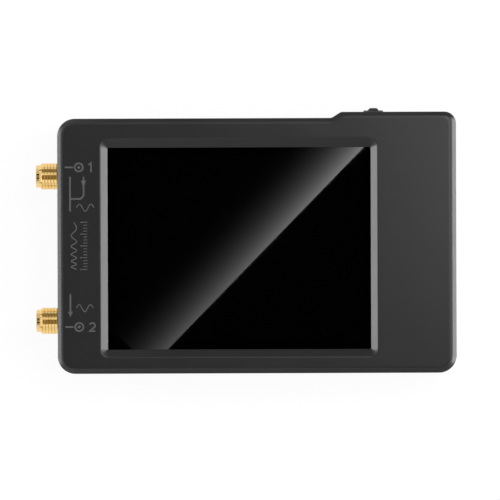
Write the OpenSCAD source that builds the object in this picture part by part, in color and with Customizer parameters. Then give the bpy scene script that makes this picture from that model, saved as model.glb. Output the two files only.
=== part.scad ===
// Handheld two-port antenna analyzer, lying on its back.
// +Z points out of the screen, +Y is the edge with the jog lever and the power switch,
// and -X is the edge with the two coaxial jacks.
// The origin is the centre of the flat rear face, leaving out the raised step of the top edge.

/* [Case] */
// Room inside the case to the left of the display, where the jacks sit
room_left = 5.8; // [5.4:0.1:12]
// Room inside the case to the right of the display, where the flat cable and the USB socket sit
room_right = 14; // [13:0.1:24]
// Room inside the case above the display
room_top = 3.35; // [2.4:0.05:10]
// Room inside the case below the display
room_bottom = 2.15; // [1.8:0.05:10]
// Corner radius of the case in plan
corner_r = 4.1; // [3.2:0.1:6]
// Radius of the rounded edges round the front and the rear face
edge_r = 1.1; // [0.4:0.1:1.6]
// Thickness of the side walls
wall = 2; // [1.6:0.1:2.4]
// Thickness of the front panel
face_t = 2; // [1.8:0.1:3]
// Thickness of the rear panel
floor_t = 1.8; // [1.7:0.1:2.2]
// Distance from the foot of the ramp, which climbs to the step, to the jog switch
step_lead = 5.9; // [4.5:0.1:12]
// Height of the step above the top edge
step_h = 1.4; // [0.8:0.1:2.4]
// Length of the ramp, along the top edge
step_ramp = 2.2; // [1:0.1:5]
// Corner radius of the step in plan
step_r = 2.7; // [2.5:0.1:4]
// Height of the lip that centres the front cover on the rear cover
lip_h = 1.2; // [0.8:0.1:2]
// Thickness of the lip
lip_t = 0.9; // [0.6:0.1:1.1]
// Clearance round the lip
lip_gap = 0.1; // [0.05:0.05:0.3]

// Depth and height of the groove where the covers meet
seam = 0.25; // [0.1:0.05:0.5]

/* [Screen window] */
// Length of the clear opening
window_l = 61.4; // [50:0.1:80]
// Width of the clear opening
window_w = 47.1; // [40:0.1:60]
// Corner radius of the clear opening
window_r = 0.3; // [0.1:0.1:1]
// Corner radius of the bevel where it meets the front face
rim_r = 1.9; // [0.5:0.1:3]
// Width of the bevel at the left and the right side
bevel_side = 1.7; // [0.8:0.1:2.5]
// Width of the bevel at the top side
bevel_top = 2.1; // [0.8:0.1:2.5]
// Width of the bevel at the bottom side
bevel_bottom = 1.8; // [0.8:0.1:2.5]
// Depth of the bevel below the front face
bevel_d = 1.5; // [0.6:0.1:1.7]

/* [Display] */
// Border of the display module that the case covers at each end
lcd_end = 3.9; // [2.8:0.1:8]
// Border of the display module that the case covers at each long side
lcd_side = 1.45; // [1.2:0.05:5]
// Height of the backlight tray
tray_h = 2.4; // [2:0.1:3]
// Thickness of the floor of the backlight tray
tray_floor = 1.2; // [0.6:0.1:1.6]
// Thickness of the rim of the backlight tray
tray_rim = 0.5; // [0.3:0.1:1]
// Thickness of the touch panel
touch_t = 1.1; // [0.7:0.1:1.4]
// Thickness of the gasket between the touch panel and the front cover
gasket_t = 0.3; // [0.1:0.05:0.6]
// Distance from the window opening to the inside edge of the gasket
gasket_back = 0.3; // [0.1:0.1:1]
// Distance from the end of the display module to the end of the gasket
gasket_end = 2; // [1:0.1:2.4]
// Thickness of the foam pad between the display and the board
foam_t = 1.4; // [1.2:0.1:4]
// Distance from the edge of the display module to the edge of the foam pad
foam_in = 3; // [2:0.5:10]
// Height of the flat cable above the board, at its connector
ribbon_up = 0.6; // [0.4:0.1:0.8]
// Width of the flat cable
ribbon_w = 20; // [10:1:30]
// Thickness of the flat cable
ribbon_t = 0.25; // [0.1:0.05:0.4]
// Length of the flat cable, along the case, between the display and its connector
ribbon_run = 4.6; // [3:0.2:6]
// Length of flat cable inside its connector
ribbon_in = 1.2; // [0.8:0.1:2]
// Depth of the flat cable's connector, along the case
ribbon_socket_l = 3.2; // [2.6:0.1:4]
// Height of the flat cable's connector
ribbon_socket_h = 1.5; // [1.2:0.1:1.8]
// Length of the connector past each side of the flat cable
ribbon_socket_side = 1; // [0.6:0.1:2]

/* [Board] */
// Room between the cell and the board, for the parts under the board
board_room = 2.2; // [2.1:0.1:4]
// Thickness of the board
board_t = 1.6; // [1:0.1:2]
// Clearance between the board and the walls and posts
board_gap = 0.3; // [0.2:0.05:0.6]
// Thickness of the ribs that hold the board, along the case
rib_t = 1.2; // [0.8:0.1:2]
// Reach of these ribs from the wall
rib_reach = 1.7; // [1:0.1:1.8]
// Distance between the left ribs and the shield cans
rib_from_can = 2.4; // [1:0.1:5]
// Distance between the right ribs and the foot of the ramp
rib_from_step = 3.4; // [2:0.1:8]

/* [Jacks] */
// Major radius of the jack's thread
jack_r = 3.175; // [2.8:0.005:3.4]
// Length of jack outside the case
jack_out = 5.1; // [4:0.1:9]
// Place of the first jack across the case, from its middle
jack1_y = 16.4; // [14:0.1:18]
// Place of the second jack across the case, from its middle
jack2_y = -17.4; // [-19:0.1:-12]
// Pitch of the thread
thread_pitch = 0.7056; // [0.5:0.0001:1]
// Depth of the thread
thread_d = 0.43; // [0.2:0.01:0.45]
// Distance from the case to the first ridge of the thread
thread_out = 0.1; // [0.05:0.05:0.5]
// Length of the smooth end of the jack
collar_l = 1.1; // [0.6:0.1:2]
// Radius of the smooth end of the jack
collar_r = 2.85; // [2.7:0.05:3]
// Chamfer of the smooth end of the jack
collar_chamfer = 0.4; // [0.1:0.05:0.4]
// Side of the jack's square flange
flange_w = 6.35; // [6:0.05:7]
// Thickness of the flange
flange_t = 1.6; // [1:0.1:2]
// Distance between the flange and the wall
flange_gap = 0.4; // [0.2:0.1:1]
// Length of the prongs that grip the board
prong_l = 3.2; // [2:0.1:3.6]
// Side of the prongs
prong_t = 1; // [0.8:0.05:1.2]
// Clearance between the jack and its hole in the case
jack_gap = 0.2; // [0.1:0.05:0.5]
// Radius of the open mouth of the jack
mouth_r = 2.31; // [2.2:0.01:2.4]
// Depth of the open mouth of the jack
mouth_d = 1.95; // [1.5:0.05:3]
// Radius of the insulator
insulator_r = 2.05; // [1.8:0.01:2.15]
// Radius of the centre contact
contact_r = 0.635; // [0.5:0.005:0.8]
// Radius of the hole in the centre contact
contact_hole_r = 0.46; // [0.3:0.01:0.48]
// Depth of the hole in the centre contact
contact_hole_d = 2.6; // [1.5:0.1:4]
// Radius of the tail of the contact, which lies on the board
tail_r = 0.4; // [0.25:0.05:0.5]
// Length of the tail on the board
tail_l = 2.4; // [1.5:0.1:3]

/* [Battery] */
// Length of the cell
cell_l = 50; // [34:1:54]
// Width of the cell
cell_w = 34; // [20:1:36]
// Thickness of the cell
cell_h = 4; // [3:0.1:8]
// Corner radius of the cell in plan
cell_r = 2; // [1:0.5:3]
// Distance between the cell and the USB socket
cell_from_usb = 3.6; // [2:0.1:6]
// Place of the cell's middle across the case
cell_y = -2; // [-4:0.5:0]
// Thickness of the tape under the cell
tape_t = 0.2; // [0.1:0.05:0.3]
// Distance from the edge of the cell to the edge of the tape
tape_in = 4; // [2:0.5:8]
// Height of the fence round the cell
fence_h = 1.5; // [0.8:0.1:2.5]
// Thickness of the fence
fence_t = 1; // [0.6:0.1:1.2]
// Clearance between the cell and its fence
fence_gap = 0.3; // [0.1:0.1:0.6]
// Radius of each battery lead
lead_r = 0.45; // [0.3:0.05:0.55]
// Height where the leads leave the cell, as a share of the cell's thickness
lead_at = 0.7; // [0.5:0.05:0.8]
// Distance that the leads lean away from the cell as they rise
lead_lean = 0.3; // [0.1:0.1:0.6]
// Distance between the two leads
lead_pitch = 1.25; // [1.2:0.05:2]
// Length of the battery connector's socket
plug_l = 4.4; // [3.5:0.1:6]
// Height of the battery connector's socket
plug_h = 3; // [2.5:0.1:3.4]
// Depth of the socket, across the case
socket_w = 3.2; // [2.5:0.1:4]
// Wall of the socket
socket_wall = 0.5; // [0.4:0.1:0.8]
// Length of plug that stands out of the socket
plug_out = 1; // [0.6:0.1:2]
// Distance from the board's left edge to the battery connector
plug_left = 27.5; // [25:0.5:32]
// Distance from the cell to the battery connector, across the case
plug_away = 2.6; // [2.2:0.1:3.5]

/* [USB socket] */
// Place of the socket along the right end, from the middle of the case
usb_y = -8; // [-14:0.5:8]
// Width of the metal shell
usb_w = 8.94; // [8.5:0.01:9.5]
// Height of the metal shell
usb_h = 3.26; // [3:0.01:3.4]
// Length of the metal shell
usb_l = 7.3; // [6:0.1:8]
// Thickness of the metal shell
usb_t = 0.3; // [0.2:0.05:0.4]
// Distance from the mouth of the shell to the outside of the case
usb_in = 0.6; // [0.2:0.1:1.2]
// Clearance between the shell and its opening in the case
usb_gap = 0.25; // [0.1:0.05:0.6]
// Width of the tongue
tongue_w = 6.69; // [6:0.01:7]
// Thickness of the tongue
tongue_t = 0.7; // [0.5:0.05:0.9]
// Distance from the mouth of the shell to the tip of the tongue
tongue_in = 0.8; // [0.4:0.1:1.5]
// Length of the moulded block at the back of the shell
tongue_block = 1.6; // [1:0.1:2.5]

/* [Jog lever] */
// Distance between the jog switch and the power switch
switch_apart = 0.8; // [0.4:0.1:4]
// Radius of the lever's curved wings, from its pivot
wing_r = 7; // [6.5:0.1:8]
// Thickness of the wings
wing_t = 1.1; // [0.8:0.1:1.4]
// Width of the wings
wing_w = 4.8; // [4:0.1:5.4]
// Height of the crown of the wings above the top edge of the step
wing_out = 0.4; // [0.2:0.05:1]
// Height of the lever outside the switch, across the thickness of the case
wing_h = 2.2; // [1.6:0.1:2.4]
// Width of the knob at its foot
knob_w = 2.8; // [2:0.1:3.6]
// Width of the knob at its tip
knob_tip_w = 1.7; // [1.2:0.1:2.4]
// Height of the knob above the wings
knob_out = 0.65; // [0.4:0.05:2]
// Width of the lever's stem
stem_w = 1.6; // [1.2:0.1:2.2]
// Thickness of the lever's stem and hub
stem_h = 1; // [0.8:0.05:1.1]
// Radius of the lever's hub
hub_r = 1.1; // [0.9:0.05:1.3]
// Radius of the pivot pin
jog_pin_r = 0.45; // [0.35:0.05:0.6]
// Running clearance of the lever and the plunger in the switch
jog_run = 0.05; // [0.02:0.01:0.08]
// Clearance between the wings and their slot in the case
jog_slot_gap = 0.2; // [0.1:0.05:0.3]
// Distance from the underside of the board to the middle of the lever
jog_drop = 1.3; // [1.2:0.05:1.5]
// Distance from the pivot to the back of the switch
jog_behind = 2.15; // [2.15:0.05:3]
// Clearance at each side of the tilted stem in the mouth of the switch
jog_mouth_gap = 0.6; // [0.3:0.1:0.8]
// Travel of the plunger
jog_travel = 0.35; // [0.2:0.05:0.4]
// Tilt of the lever to each side, in degrees
jog_tilt = 8; // [4:0.5:9]
// Length of the jog switch, along the case
jog_body_l = 8; // [7.8:0.1:8.2]
// Height of the jog switch
jog_body_h = 3; // [2.8:0.1:3.4]
// Wall of the jog switch
jog_wall = 0.6; // [0.4:0.05:0.7]
// Thickness of the snap dome
dome_t = 0.08; // [0.05:0.01:0.1]
// Radius of the snap dome
dome_r = 0.85; // [0.5:0.05:0.9]
// Distance between the pressed plunger and the snap dome
dome_gap = 0.02; // [0.01:0.01:0.05]
// Distance between the switches and the wall of the step
switch_gap = 1.15; // [0.8:0.05:1.4]

/* [Power switch] */
// Distance between the power switch and the screw post beside it
power_from_post = 0.7; // [0.3:0.1:4]
// Length of the power switch, along the case
power_l = 6.8; // [6.6:0.1:7]
// Depth of the power switch, across the case
power_w = 3.8; // [3.4:0.1:4.4]
// Height of the power switch
power_h = 2.8; // [2.6:0.1:3.2]
// Travel of the slider
power_travel = 2; // [1:0.1:2]
// Length of the slider block
slider_l = 2.4; // [2:0.1:2.6]
// Width of the slider's knob
slider_knob_l = 1.4; // [1:0.1:1.8]
// Height of the slider's knob, across the thickness of the case
slider_knob_h = 1.2; // [0.8:0.1:1.4]
// Distance from the tip of the slider's knob to the outside of the step
slider_in = 0.15; // [0.05:0.05:0.8]
// Wall of the power switch
power_wall = 0.6; // [0.4:0.05:0.7]
// Running clearance of the slider along and across the case
slider_run = 0.2; // [0.1:0.05:0.3]
// Running clearance of the slider across the thickness of the case
slider_run_h = 0.05; // [0.02:0.01:0.1]
// Clearance past the knob at each end of its slot in the case
slider_slot_end = 0.4; // [0.4:0.05:0.8]
// Clearance above and below the knob in its slot in the case
slider_slot_gap = 0.25; // [0.2:0.05:0.4]

/* [Fasteners] */
// Radius of the case screws
screw_r = 1; // [0.8:0.05:1.1]
// Length of the case screws under the head
screw_l = 12; // [10:0.5:12.5]
// Radius of the screw heads
head_r = 1.8; // [1.5:0.1:1.9]
// Height of the screw heads
head_h = 1.2; // [0.8:0.1:1.3]
// Width of the cross recess in the screw heads
cross_w = 0.35; // [0.25:0.05:0.5]
// Depth of the cross recess
cross_d = 0.7; // [0.4:0.1:0.8]
// Depth of the seats of the screw heads below the rear face
seat_d = 1.5; // [1.2:0.1:1.6]
// Radius of the screw posts
post_r = 2.5; // [2.3:0.1:2.6]
// Distance of the posts from the inside of the walls
post_in = 2.3; // [2:0.1:2.4]
// Length of pilot hole past the tips of the screws
pilot_end = 0.6; // [0.3:0.1:1]
// Clearance round the screws in the rear cover
screw_gap = 0.15; // [0.1:0.05:0.3]
// Clearance round the screws in the front cover
thread_gap = 0.02; // [0.01:0.01:0.05]

/* [Shields and chips] */
// Distance from the board's left edge to the left end of the group of chips
chips_left = 27.5; // [26:0.5:30]
// Place of the microcontroller along the group of chips
mcu_at = 24; // [20:0.5:28]
// Length of each shield can
can_l = 17; // [12:0.5:17.5]
// Width of each shield can
can_w = 14; // [10:0.5:14.5]
// Height of each shield can
can_h = 2; // [1.6:0.1:2.1]
// Thickness of the shield cans
can_t = 0.25; // [0.15:0.05:0.4]
// Distance from the board's left edge to the shield cans
can_left = 5; // [4:0.5:6]
// Side of the microcontroller
mcu_w = 7; // [5:0.5:9]
// Height of the microcontroller
mcu_h = 1.4; // [1:0.1:1.6]
// Pins on each side of the microcontroller
mcu_pins = 12; // [8:1:16]
// Pin pitch of the microcontroller
mcu_pitch = 0.5; // [0.4:0.05:0.5]
// Length of the microcontroller's pins
pin_l = 1; // [0.6:0.1:1.2]
// Width of the microcontroller's pins
pin_w = 0.22; // [0.15:0.01:0.3]
// Height of the microcontroller's pins
pin_h = 0.7; // [0.4:0.1:0.9]
// Height of the small chips
chip_h = 1; // [0.6:0.1:1.4]
// Side of the mixer chips
mixer_w = 3.9; // [3:0.1:5]
// Distance between the two mixer chips of the first can
mixer_pitch = 8; // [6:0.5:9]
// Side of the clock generator
clock_w = 3; // [2:0.5:4]
// Place of the clock generator along the group of chips
clock_at = 6; // [3:0.5:7]
// Length of the crystal
crystal_l = 3.2; // [2:0.1:4]
// Width of the crystal
crystal_w = 2.5; // [1.6:0.1:3.2]
// Place of the crystal along the group of chips
crystal_at = 12; // [11:0.5:16]
// Place of the clock generator and the crystal across the board, from its middle
clock_y = 5; // [2:0.5:9]
// Side of the audio codec
codec_w = 5; // [4:0.5:7]
// Place of the audio codec along the group of chips
codec_at = 9; // [4:0.5:16]
// Length of the charger chip
charger_l = 4.9; // [4:0.1:6]
// Width of the charger chip
charger_w = 3.9; // [3:0.1:5]
// Place of the charger chip along the group of chips
charger_at = 38; // [32:0.5:42]
// Place of the audio codec and the charger chip across the board, from its middle
codec_y = -10; // [-14:0.5:-8]

/* [Hidden] */
// Small length that makes cuts run past a face
e = 0.05;
// Thickness of the thin layers that a rounded skin is stretched over
layer_t = 0.01;
edge_steps = 6;
$fn = 64;
skin_fn = 32;

// Outer size of the case and place of the display, from what the case holds
lcd_l = window_l + 2 * lcd_end;
lcd_w = window_w + 2 * lcd_side;
case_l = room_left + lcd_l + room_right + 2 * wall;
case_w = room_bottom + lcd_w + room_top + 2 * wall;
window_x = (room_left - room_right) / 2;
window_y = (room_bottom - room_top) / 2;
cell_z = floor_t + tape_t;
board_z = cell_z + cell_h + board_room;
board_top = board_z + board_t;
tray_z = board_top + foam_t;
touch_z = tray_z + tray_h;
front_in_z = touch_z + touch_t + gasket_t;
case_h = front_in_z + face_t;

right_x = case_l / 2;
left_x = -case_l / 2;
top_y = case_w / 2;
step_y = top_y + step_h;
board_x0 = left_x + wall + flange_gap + flange_t;
board_x1 = right_x - wall - board_gap;
board_y1 = top_y - wall - board_gap;

// The jacks' axis lies where the tails of their contacts rest on the board,
// and the two covers part at that height
jack_z = board_top + tail_r;
split_z = jack_z;

post_x = right_x - wall - post_in;
post_y = top_y - wall - post_in;

lcd_x1 = window_x + lcd_l / 2;
ribbon_x1 = lcd_x1 + ribbon_run;
ribbon_z = board_top + ribbon_up;
ribbon_tray_z = tray_z + tray_floor;

usb_x1 = right_x - usb_in;
usb_z = board_z - usb_h / 2;

cell_x0 = usb_x1 - usb_l - cell_from_usb - cell_l;
cell_top_y = cell_y + cell_w / 2;
plug_y0 = cell_top_y + plug_away;
plug_x = board_x0 + plug_left + plug_l / 2;

power_x = post_x - post_r - power_from_post - power_l / 2;
power_z = board_z - power_h / 2;

jog_x = power_x - power_l / 2 - switch_apart - jog_body_l / 2;
jog_z = board_z - jog_drop;
pivot_y = step_y + wing_out - wing_r;
switch_y1 = step_y - wall - switch_gap;
jog_back_y = pivot_y - jog_behind;
jog_slot_h = wing_h + 2 * jog_slot_gap;
// Half of the slot holds half a wing, its swing and a clearance
jog_slot_half = wing_w / 2 * cos(jog_tilt) + wing_r * sin(jog_tilt) + jog_slot_gap;

step_l = right_x - jog_x + jog_body_l / 2 + step_lead;

can_x = board_x0 + can_left + can_l / 2;
chips_x = board_x0 + chips_left;
rib_xs = [
    can_x + can_l / 2 + rib_from_can + rib_t / 2,
    right_x - step_l - rib_from_step - rib_t / 2
];

case_grey = [0.19, 0.19, 0.2];
gold = [0.85, 0.65, 0.28];
steel = [0.7, 0.7, 0.72];
chip_black = [0.08, 0.08, 0.09];
board_green = [0.06, 0.3, 0.16];

// ---- Plan shapes ----

module rounded_rect(l, w, r) {
    square([l - 2 * r, w], center = true);
    square([l, w - 2 * r], center = true);
    for (x = [-1, 1], y = [-1, 1])
        translate([x * (l / 2 - r), y * (w / 2 - r)])
            circle(r);
}

// Main outline of the case, moved inwards by inset
module body_plan(inset = 0) {
    rounded_rect(case_l - 2 * inset, case_w - 2 * inset, corner_r - inset);
}

// Raised step of the top edge, with its ramp, moved inwards by inset
module step_plan(inset = 0) {
    run = step_ramp / step_h;
    ramp_shift = inset * sqrt(1 + run * run);
    foot_x = right_x - step_l + ramp_shift - inset * run;
    head_x = right_x - step_l + ramp_shift + (step_h - inset) * run;
    r = step_r - inset;
    end_x = right_x - inset;
    low_y = top_y - 2 * corner_r;
    polygon([
        [foot_x, low_y], [end_x, low_y], [end_x, step_y - inset - r],
        [end_x - r, step_y - inset], [head_x, step_y - inset], [foot_x, top_y - inset]
    ]);
    translate([end_x - r, step_y - inset - r])
        circle(r);
}

module case_plan(inset = 0) {
    body_plan(inset);
    step_plan(inset);
}

// ---- Shared case features ----

// [inset, height] of each layer of the rounded edge, from the wall to the face
edge_layers = [for (a = [0 : 90 / edge_steps : 90]) [edge_r * (1 - cos(a)), edge_r * sin(a)]];

// Solid outside of one cover, from z = 0 at the split to its face at depth
module cover_skin(depth) {
    $fn = skin_fn;
    hull() {
        linear_extrude(depth - edge_r)
            body_plan();
        for (layer = edge_layers)
            translate([0, 0, depth - edge_r + layer[1] - layer_t])
                linear_extrude(layer_t)
                    body_plan(layer[0]);
    }
    hull() {
        linear_extrude(depth - edge_r)
            step_plan();
        for (layer = edge_layers)
            translate([0, 0, depth - edge_r + layer[1] - layer_t])
                linear_extrude(layer_t)
                    step_plan(layer[0]);
    }
}

module at_posts() {
    for (x = [-post_x, post_x], y = [-post_y, post_y])
        translate([x, y, 0])
            children();
}

// Ribs that reach in from the long walls to the edge of the board, between two heights
module board_ribs(z0, z1) {
    for (x = rib_xs, side = [-1, 1])
        translate([x, side * (top_y - wall - rib_reach / 2 + e), (z0 + z1) / 2])
            cube([rib_t, rib_reach + 2 * e, z1 - z0], center = true);
}

// Round holes of the left wall, half in each cover
module jack_holes() {
    for (y = [jack1_y, jack2_y])
        translate([left_x - e, y, jack_z])
            rotate([0, 90, 0])
                cylinder(r = jack_r + jack_gap, h = wall + 2 * e);
}

// Space in the front cover for the lip of the rear cover, clear of the rear cover's walls too
module lip_room() {
    translate([0, 0, board_top - e])
        linear_extrude(split_z + lip_h + lip_gap - board_top + e)
            difference() {
                case_plan(wall - lip_t - lip_gap);
                case_plan(wall + lip_gap);
            }
}

// Groove round the outside of the front cover, where it meets the rear cover
module seam_groove() {
    translate([0, 0, split_z - e])
        linear_extrude(seam + e)
            difference() {
                square([case_l + 2 * wall, case_w + 2 * step_h + 2 * wall], center = true);
                case_plan(seam);
            }
}

// Slot with round ends, of size l by w, through depth along +Z
module slot(l, w, depth) {
    linear_extrude(depth) {
        square([l - w, w], center = true);
        for (x = [-1, 1])
            translate([x * (l - w) / 2, 0])
                circle(w / 2);
    }
}

// ---- Covers ----

module window_cut() {
    outer_l = window_l + 2 * bevel_side;
    outer_w = window_w + bevel_top + bevel_bottom;
    outer_y = window_y + (bevel_top - bevel_bottom) / 2;
    translate([window_x, window_y, front_in_z - e])
        linear_extrude(face_t)
            rounded_rect(window_l, window_w, window_r);
    hull() {
        $fn = skin_fn;
        translate([window_x, window_y, case_h - bevel_d])
            linear_extrude(layer_t)
                rounded_rect(window_l, window_w, window_r);
        translate([window_x, outer_y, case_h])
            linear_extrude(e)
                rounded_rect(outer_l, outer_w, rim_r);
    }
}

module front_cover() color(case_grey) {
    difference() {
        union() {
            difference() {
                translate([0, 0, split_z])
                    cover_skin(case_h - split_z);
                translate([0, 0, split_z - e])
                    linear_extrude(front_in_z - split_z + e)
                        case_plan(wall);
                seam_groove();
            }
            at_posts()
                translate([0, 0, split_z])
                    cylinder(r = post_r, h = front_in_z - split_z + e);
            board_ribs(board_top, front_in_z + e);
        }
        at_posts()
            translate([0, 0, split_z - e])
                cylinder(r = screw_r + thread_gap, h = seat_d + screw_l - split_z + pilot_end + e);
        lip_room();
        window_cut();
        jack_holes();
    }
}

module rear_cover() color(case_grey) {
    difference() {
        union() {
            difference() {
                translate([0, 0, split_z])
                    mirror([0, 0, 1])
                        cover_skin(split_z);
                translate([0, 0, floor_t])
                    linear_extrude(split_z - floor_t + e)
                        case_plan(wall);
            }
            difference() {
                translate([0, 0, split_z - e])
                    linear_extrude(lip_h + e)
                        case_plan(wall - lip_t);
                translate([0, 0, split_z - 2 * e])
                    linear_extrude(lip_h + 3 * e)
                        case_plan(wall);
            }
            at_posts()
                translate([0, 0, floor_t - e])
                    cylinder(r = post_r, h = split_z - floor_t + e);
            board_ribs(floor_t - e, board_z);
            battery_fence();
        }
        at_posts() {
            translate([0, 0, -e])
                cylinder(r = head_r + screw_gap, h = seat_d + e);
            cylinder(r = screw_r + screw_gap, h = split_z + e);
        }
        jack_holes();
        usb_opening();
        jog_opening();
        power_opening();
    }
}

module battery_fence() {
    translate([cell_x0 + cell_l / 2, cell_y, floor_t - e])
        difference() {
            linear_extrude(fence_h + e)
                square([cell_l + 2 * (fence_gap + fence_t), cell_w + 2 * (fence_gap + fence_t)],
                    center = true);
            translate([0, 0, -e])
                linear_extrude(fence_h + 3 * e)
                    square([cell_l + 2 * fence_gap, cell_w + 2 * fence_gap], center = true);
        }
}

module usb_opening() {
    translate([right_x - wall - e, usb_y, usb_z])
        rotate([90, 0, 90])
            slot(usb_w + 2 * usb_gap, usb_h + 2 * usb_gap, wall + 2 * e);
}

module jog_opening() {
    translate([jog_x - jog_slot_half, step_y - wall - e, jog_z - jog_slot_h / 2])
        cube([2 * jog_slot_half, wall + 2 * e, jog_slot_h]);
}

module power_opening() {
    translate([power_x, step_y + e, power_z])
        rotate([90, 0, 0])
            slot(slider_knob_l + power_travel + 2 * slider_slot_end,
                slider_knob_h + 2 * slider_slot_gap, wall + 2 * e);
}

module case_screws() color(steel) {
    cross_l = head_r;
    at_posts()
        difference() {
            union() {
                translate([0, 0, seat_d])
                    cylinder(r = screw_r, h = screw_l);
                translate([0, 0, seat_d - head_h])
                    cylinder(r = head_r, h = head_h);
            }
            for (turn = [0, 90])
                rotate([0, 0, turn])
                    translate([-cross_l / 2, -cross_w / 2, seat_d - head_h - e])
                        cube([cross_l, cross_w, cross_d + e]);
        }
}

// ---- Display ----

module screen_gasket() color(chip_black) {
    translate([window_x, window_y, front_in_z - gasket_t])
        linear_extrude(gasket_t)
            difference() {
                square([lcd_l - 2 * gasket_end, lcd_w], center = true);
                square([window_l + 2 * gasket_back, window_w + 2 * gasket_back], center = true);
            }
}

module touch_panel() color([0.02, 0.02, 0.02]) {
    translate([window_x, window_y, touch_z])
        linear_extrude(touch_t)
            square([lcd_l, lcd_w], center = true);
}

module lcd_panel() color([0.05, 0.05, 0.06]) {
    translate([window_x, window_y, tray_z + tray_floor])
        linear_extrude(tray_h - tray_floor)
            square([lcd_l - 2 * tray_rim, lcd_w - 2 * tray_rim], center = true);
}

module lcd_tray() color([0.85, 0.85, 0.85]) {
    translate([window_x, window_y, tray_z])
        difference() {
            linear_extrude(tray_h)
                square([lcd_l, lcd_w], center = true);
            translate([0, 0, tray_floor])
                linear_extrude(tray_h)
                    square([lcd_l - 2 * tray_rim, lcd_w - 2 * tray_rim], center = true);
        }
}

module lcd_foam() color(chip_black) {
    translate([window_x, window_y, board_top])
        linear_extrude(tray_z - board_top)
            square([lcd_l - 2 * foam_in, lcd_w - 2 * foam_in], center = true);
}

// Flat cable from the tray's right end down into its connector
module lcd_ribbon() color([0.75, 0.5, 0.15]) {
    bend = ribbon_run / 3;
    translate([0, window_y + ribbon_w / 2, 0])
        rotate([90, 0, 0])
            linear_extrude(ribbon_w)
                polygon([
                    [lcd_x1, ribbon_tray_z], [lcd_x1 + bend, ribbon_tray_z],
                    [ribbon_x1 - bend, ribbon_z], [ribbon_x1 + ribbon_in, ribbon_z],
                    [ribbon_x1 + ribbon_in, ribbon_z + ribbon_t],
                    [ribbon_x1 - bend + ribbon_t / 2, ribbon_z + ribbon_t],
                    [lcd_x1 + bend + ribbon_t / 2, ribbon_tray_z + ribbon_t],
                    [lcd_x1, ribbon_tray_z + ribbon_t]
                ]);
}

module lcd_connector() color([0.8, 0.78, 0.7]) {
    difference() {
        translate([ribbon_x1, window_y - ribbon_w / 2 - ribbon_socket_side, board_top])
            cube([ribbon_socket_l, ribbon_w + 2 * ribbon_socket_side, ribbon_socket_h]);
        translate([ribbon_x1 - e, window_y - ribbon_w / 2 - e, ribbon_z - e])
            cube([ribbon_in + 2 * e, ribbon_w + 2 * e, ribbon_t + 2 * e]);
    }
}

// ---- Board ----

module main_board() color(board_green) {
    translate([0, 0, board_z])
        linear_extrude(board_t)
            difference() {
                translate([board_x0, -board_y1])
                    square([board_x1 - board_x0, 2 * board_y1]);
                for (x = [-post_x, post_x], y = [-post_y, post_y])
                    translate([x, y]) {
                        circle(post_r + board_gap);
                        translate([sign(x) * post_r, sign(y) * post_r])
                            square(2 * (post_r + board_gap), center = true);
                    }
            }
}

// ---- Jacks ----

// Outline of the barrel in radius and distance from the flange, with the ridges of the thread.
// The first ridge stands just outside the case.
module barrel_profile(barrel_l) {
    root_r = jack_r - thread_d;
    start = flange_gap + wall + thread_out - thread_pitch / 2;
    turns = floor((barrel_l - collar_l - start) / thread_pitch);
    crest = thread_pitch / 8;
    polygon(concat(
        [[mouth_r, 0], [root_r, 0]],
        [for (i = [0 : turns - 1]) each [
            [root_r, start + i * thread_pitch],
            [jack_r, start + (i + 0.5) * thread_pitch],
            [jack_r, start + (i + 0.5) * thread_pitch + crest]
        ]],
        [
            [root_r, start + turns * thread_pitch],
            [collar_r, barrel_l - collar_l], [collar_r, barrel_l - collar_chamfer],
            [collar_r - collar_chamfer, barrel_l], [mouth_r, barrel_l]
        ]
    ));
}

module jack_shell(y) color(gold) {
    barrel_l = flange_gap + wall + jack_out;
    flange_x = board_x0 - flange_t;
    difference() {
        union() {
            translate([flange_x, y, jack_z])
                rotate([0, -90, 0])
                    rotate_extrude()
                        barrel_profile(barrel_l);
            translate([flange_x - e, y, jack_z])
                rotate([0, -90, 0])
                    cylinder(r = mouth_r + e, h = barrel_l - mouth_d - e);
            translate([flange_x, y - flange_w / 2, jack_z - flange_w / 2])
                cube([flange_t, flange_w, flange_w]);
            // Two prongs above the board and two below it
            for (side = [-1, 1], z = [board_top, board_z - prong_t])
                translate([board_x0 - e, y + side * (flange_w - prong_t) / 2 - prong_t / 2, z])
                    cube([prong_l + e, prong_t, prong_t]);
        }
        translate([board_x0 + e, y, jack_z])
            rotate([0, -90, 0])
                cylinder(r = insulator_r, h = barrel_l + flange_t + 2 * e);
    }
}

module jack_dielectric(y) color([0.92, 0.92, 0.9]) {
    translate([board_x0, y, jack_z])
        rotate([0, -90, 0])
            difference() {
                cylinder(r = insulator_r, h = flange_t + flange_gap + wall + jack_out - mouth_d);
                translate([0, 0, -e])
                    cylinder(r = contact_r, h = flange_t + flange_gap + wall + jack_out);
            }
}

module jack_contact(y) color(gold) {
    contact_l = flange_t + flange_gap + wall + jack_out - mouth_d;
    translate([board_x0, y, jack_z])
        rotate([0, -90, 0])
            difference() {
                cylinder(r = contact_r, h = contact_l);
                translate([0, 0, contact_l - contact_hole_d])
                    cylinder(r = contact_hole_r, h = contact_hole_d + e);
            }
    translate([board_x0 - e, y, jack_z])
        rotate([0, 90, 0])
            cylinder(r = tail_r, h = tail_l + e);
}

module sma1_shell() jack_shell(jack1_y);
module sma1_dielectric() jack_dielectric(jack1_y);
module sma1_contact() jack_contact(jack1_y);
module sma2_shell() jack_shell(jack2_y);
module sma2_dielectric() jack_dielectric(jack2_y);
module sma2_contact() jack_contact(jack2_y);

// ---- Shields and chips under the board ----

// Block of size l by w by h, centred on x and y, hanging from the underside of the board
module under_board(x, y, l, w, h) {
    translate([x - l / 2, y - w / 2, board_z - h])
        cube([l, w, h]);
}

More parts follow.
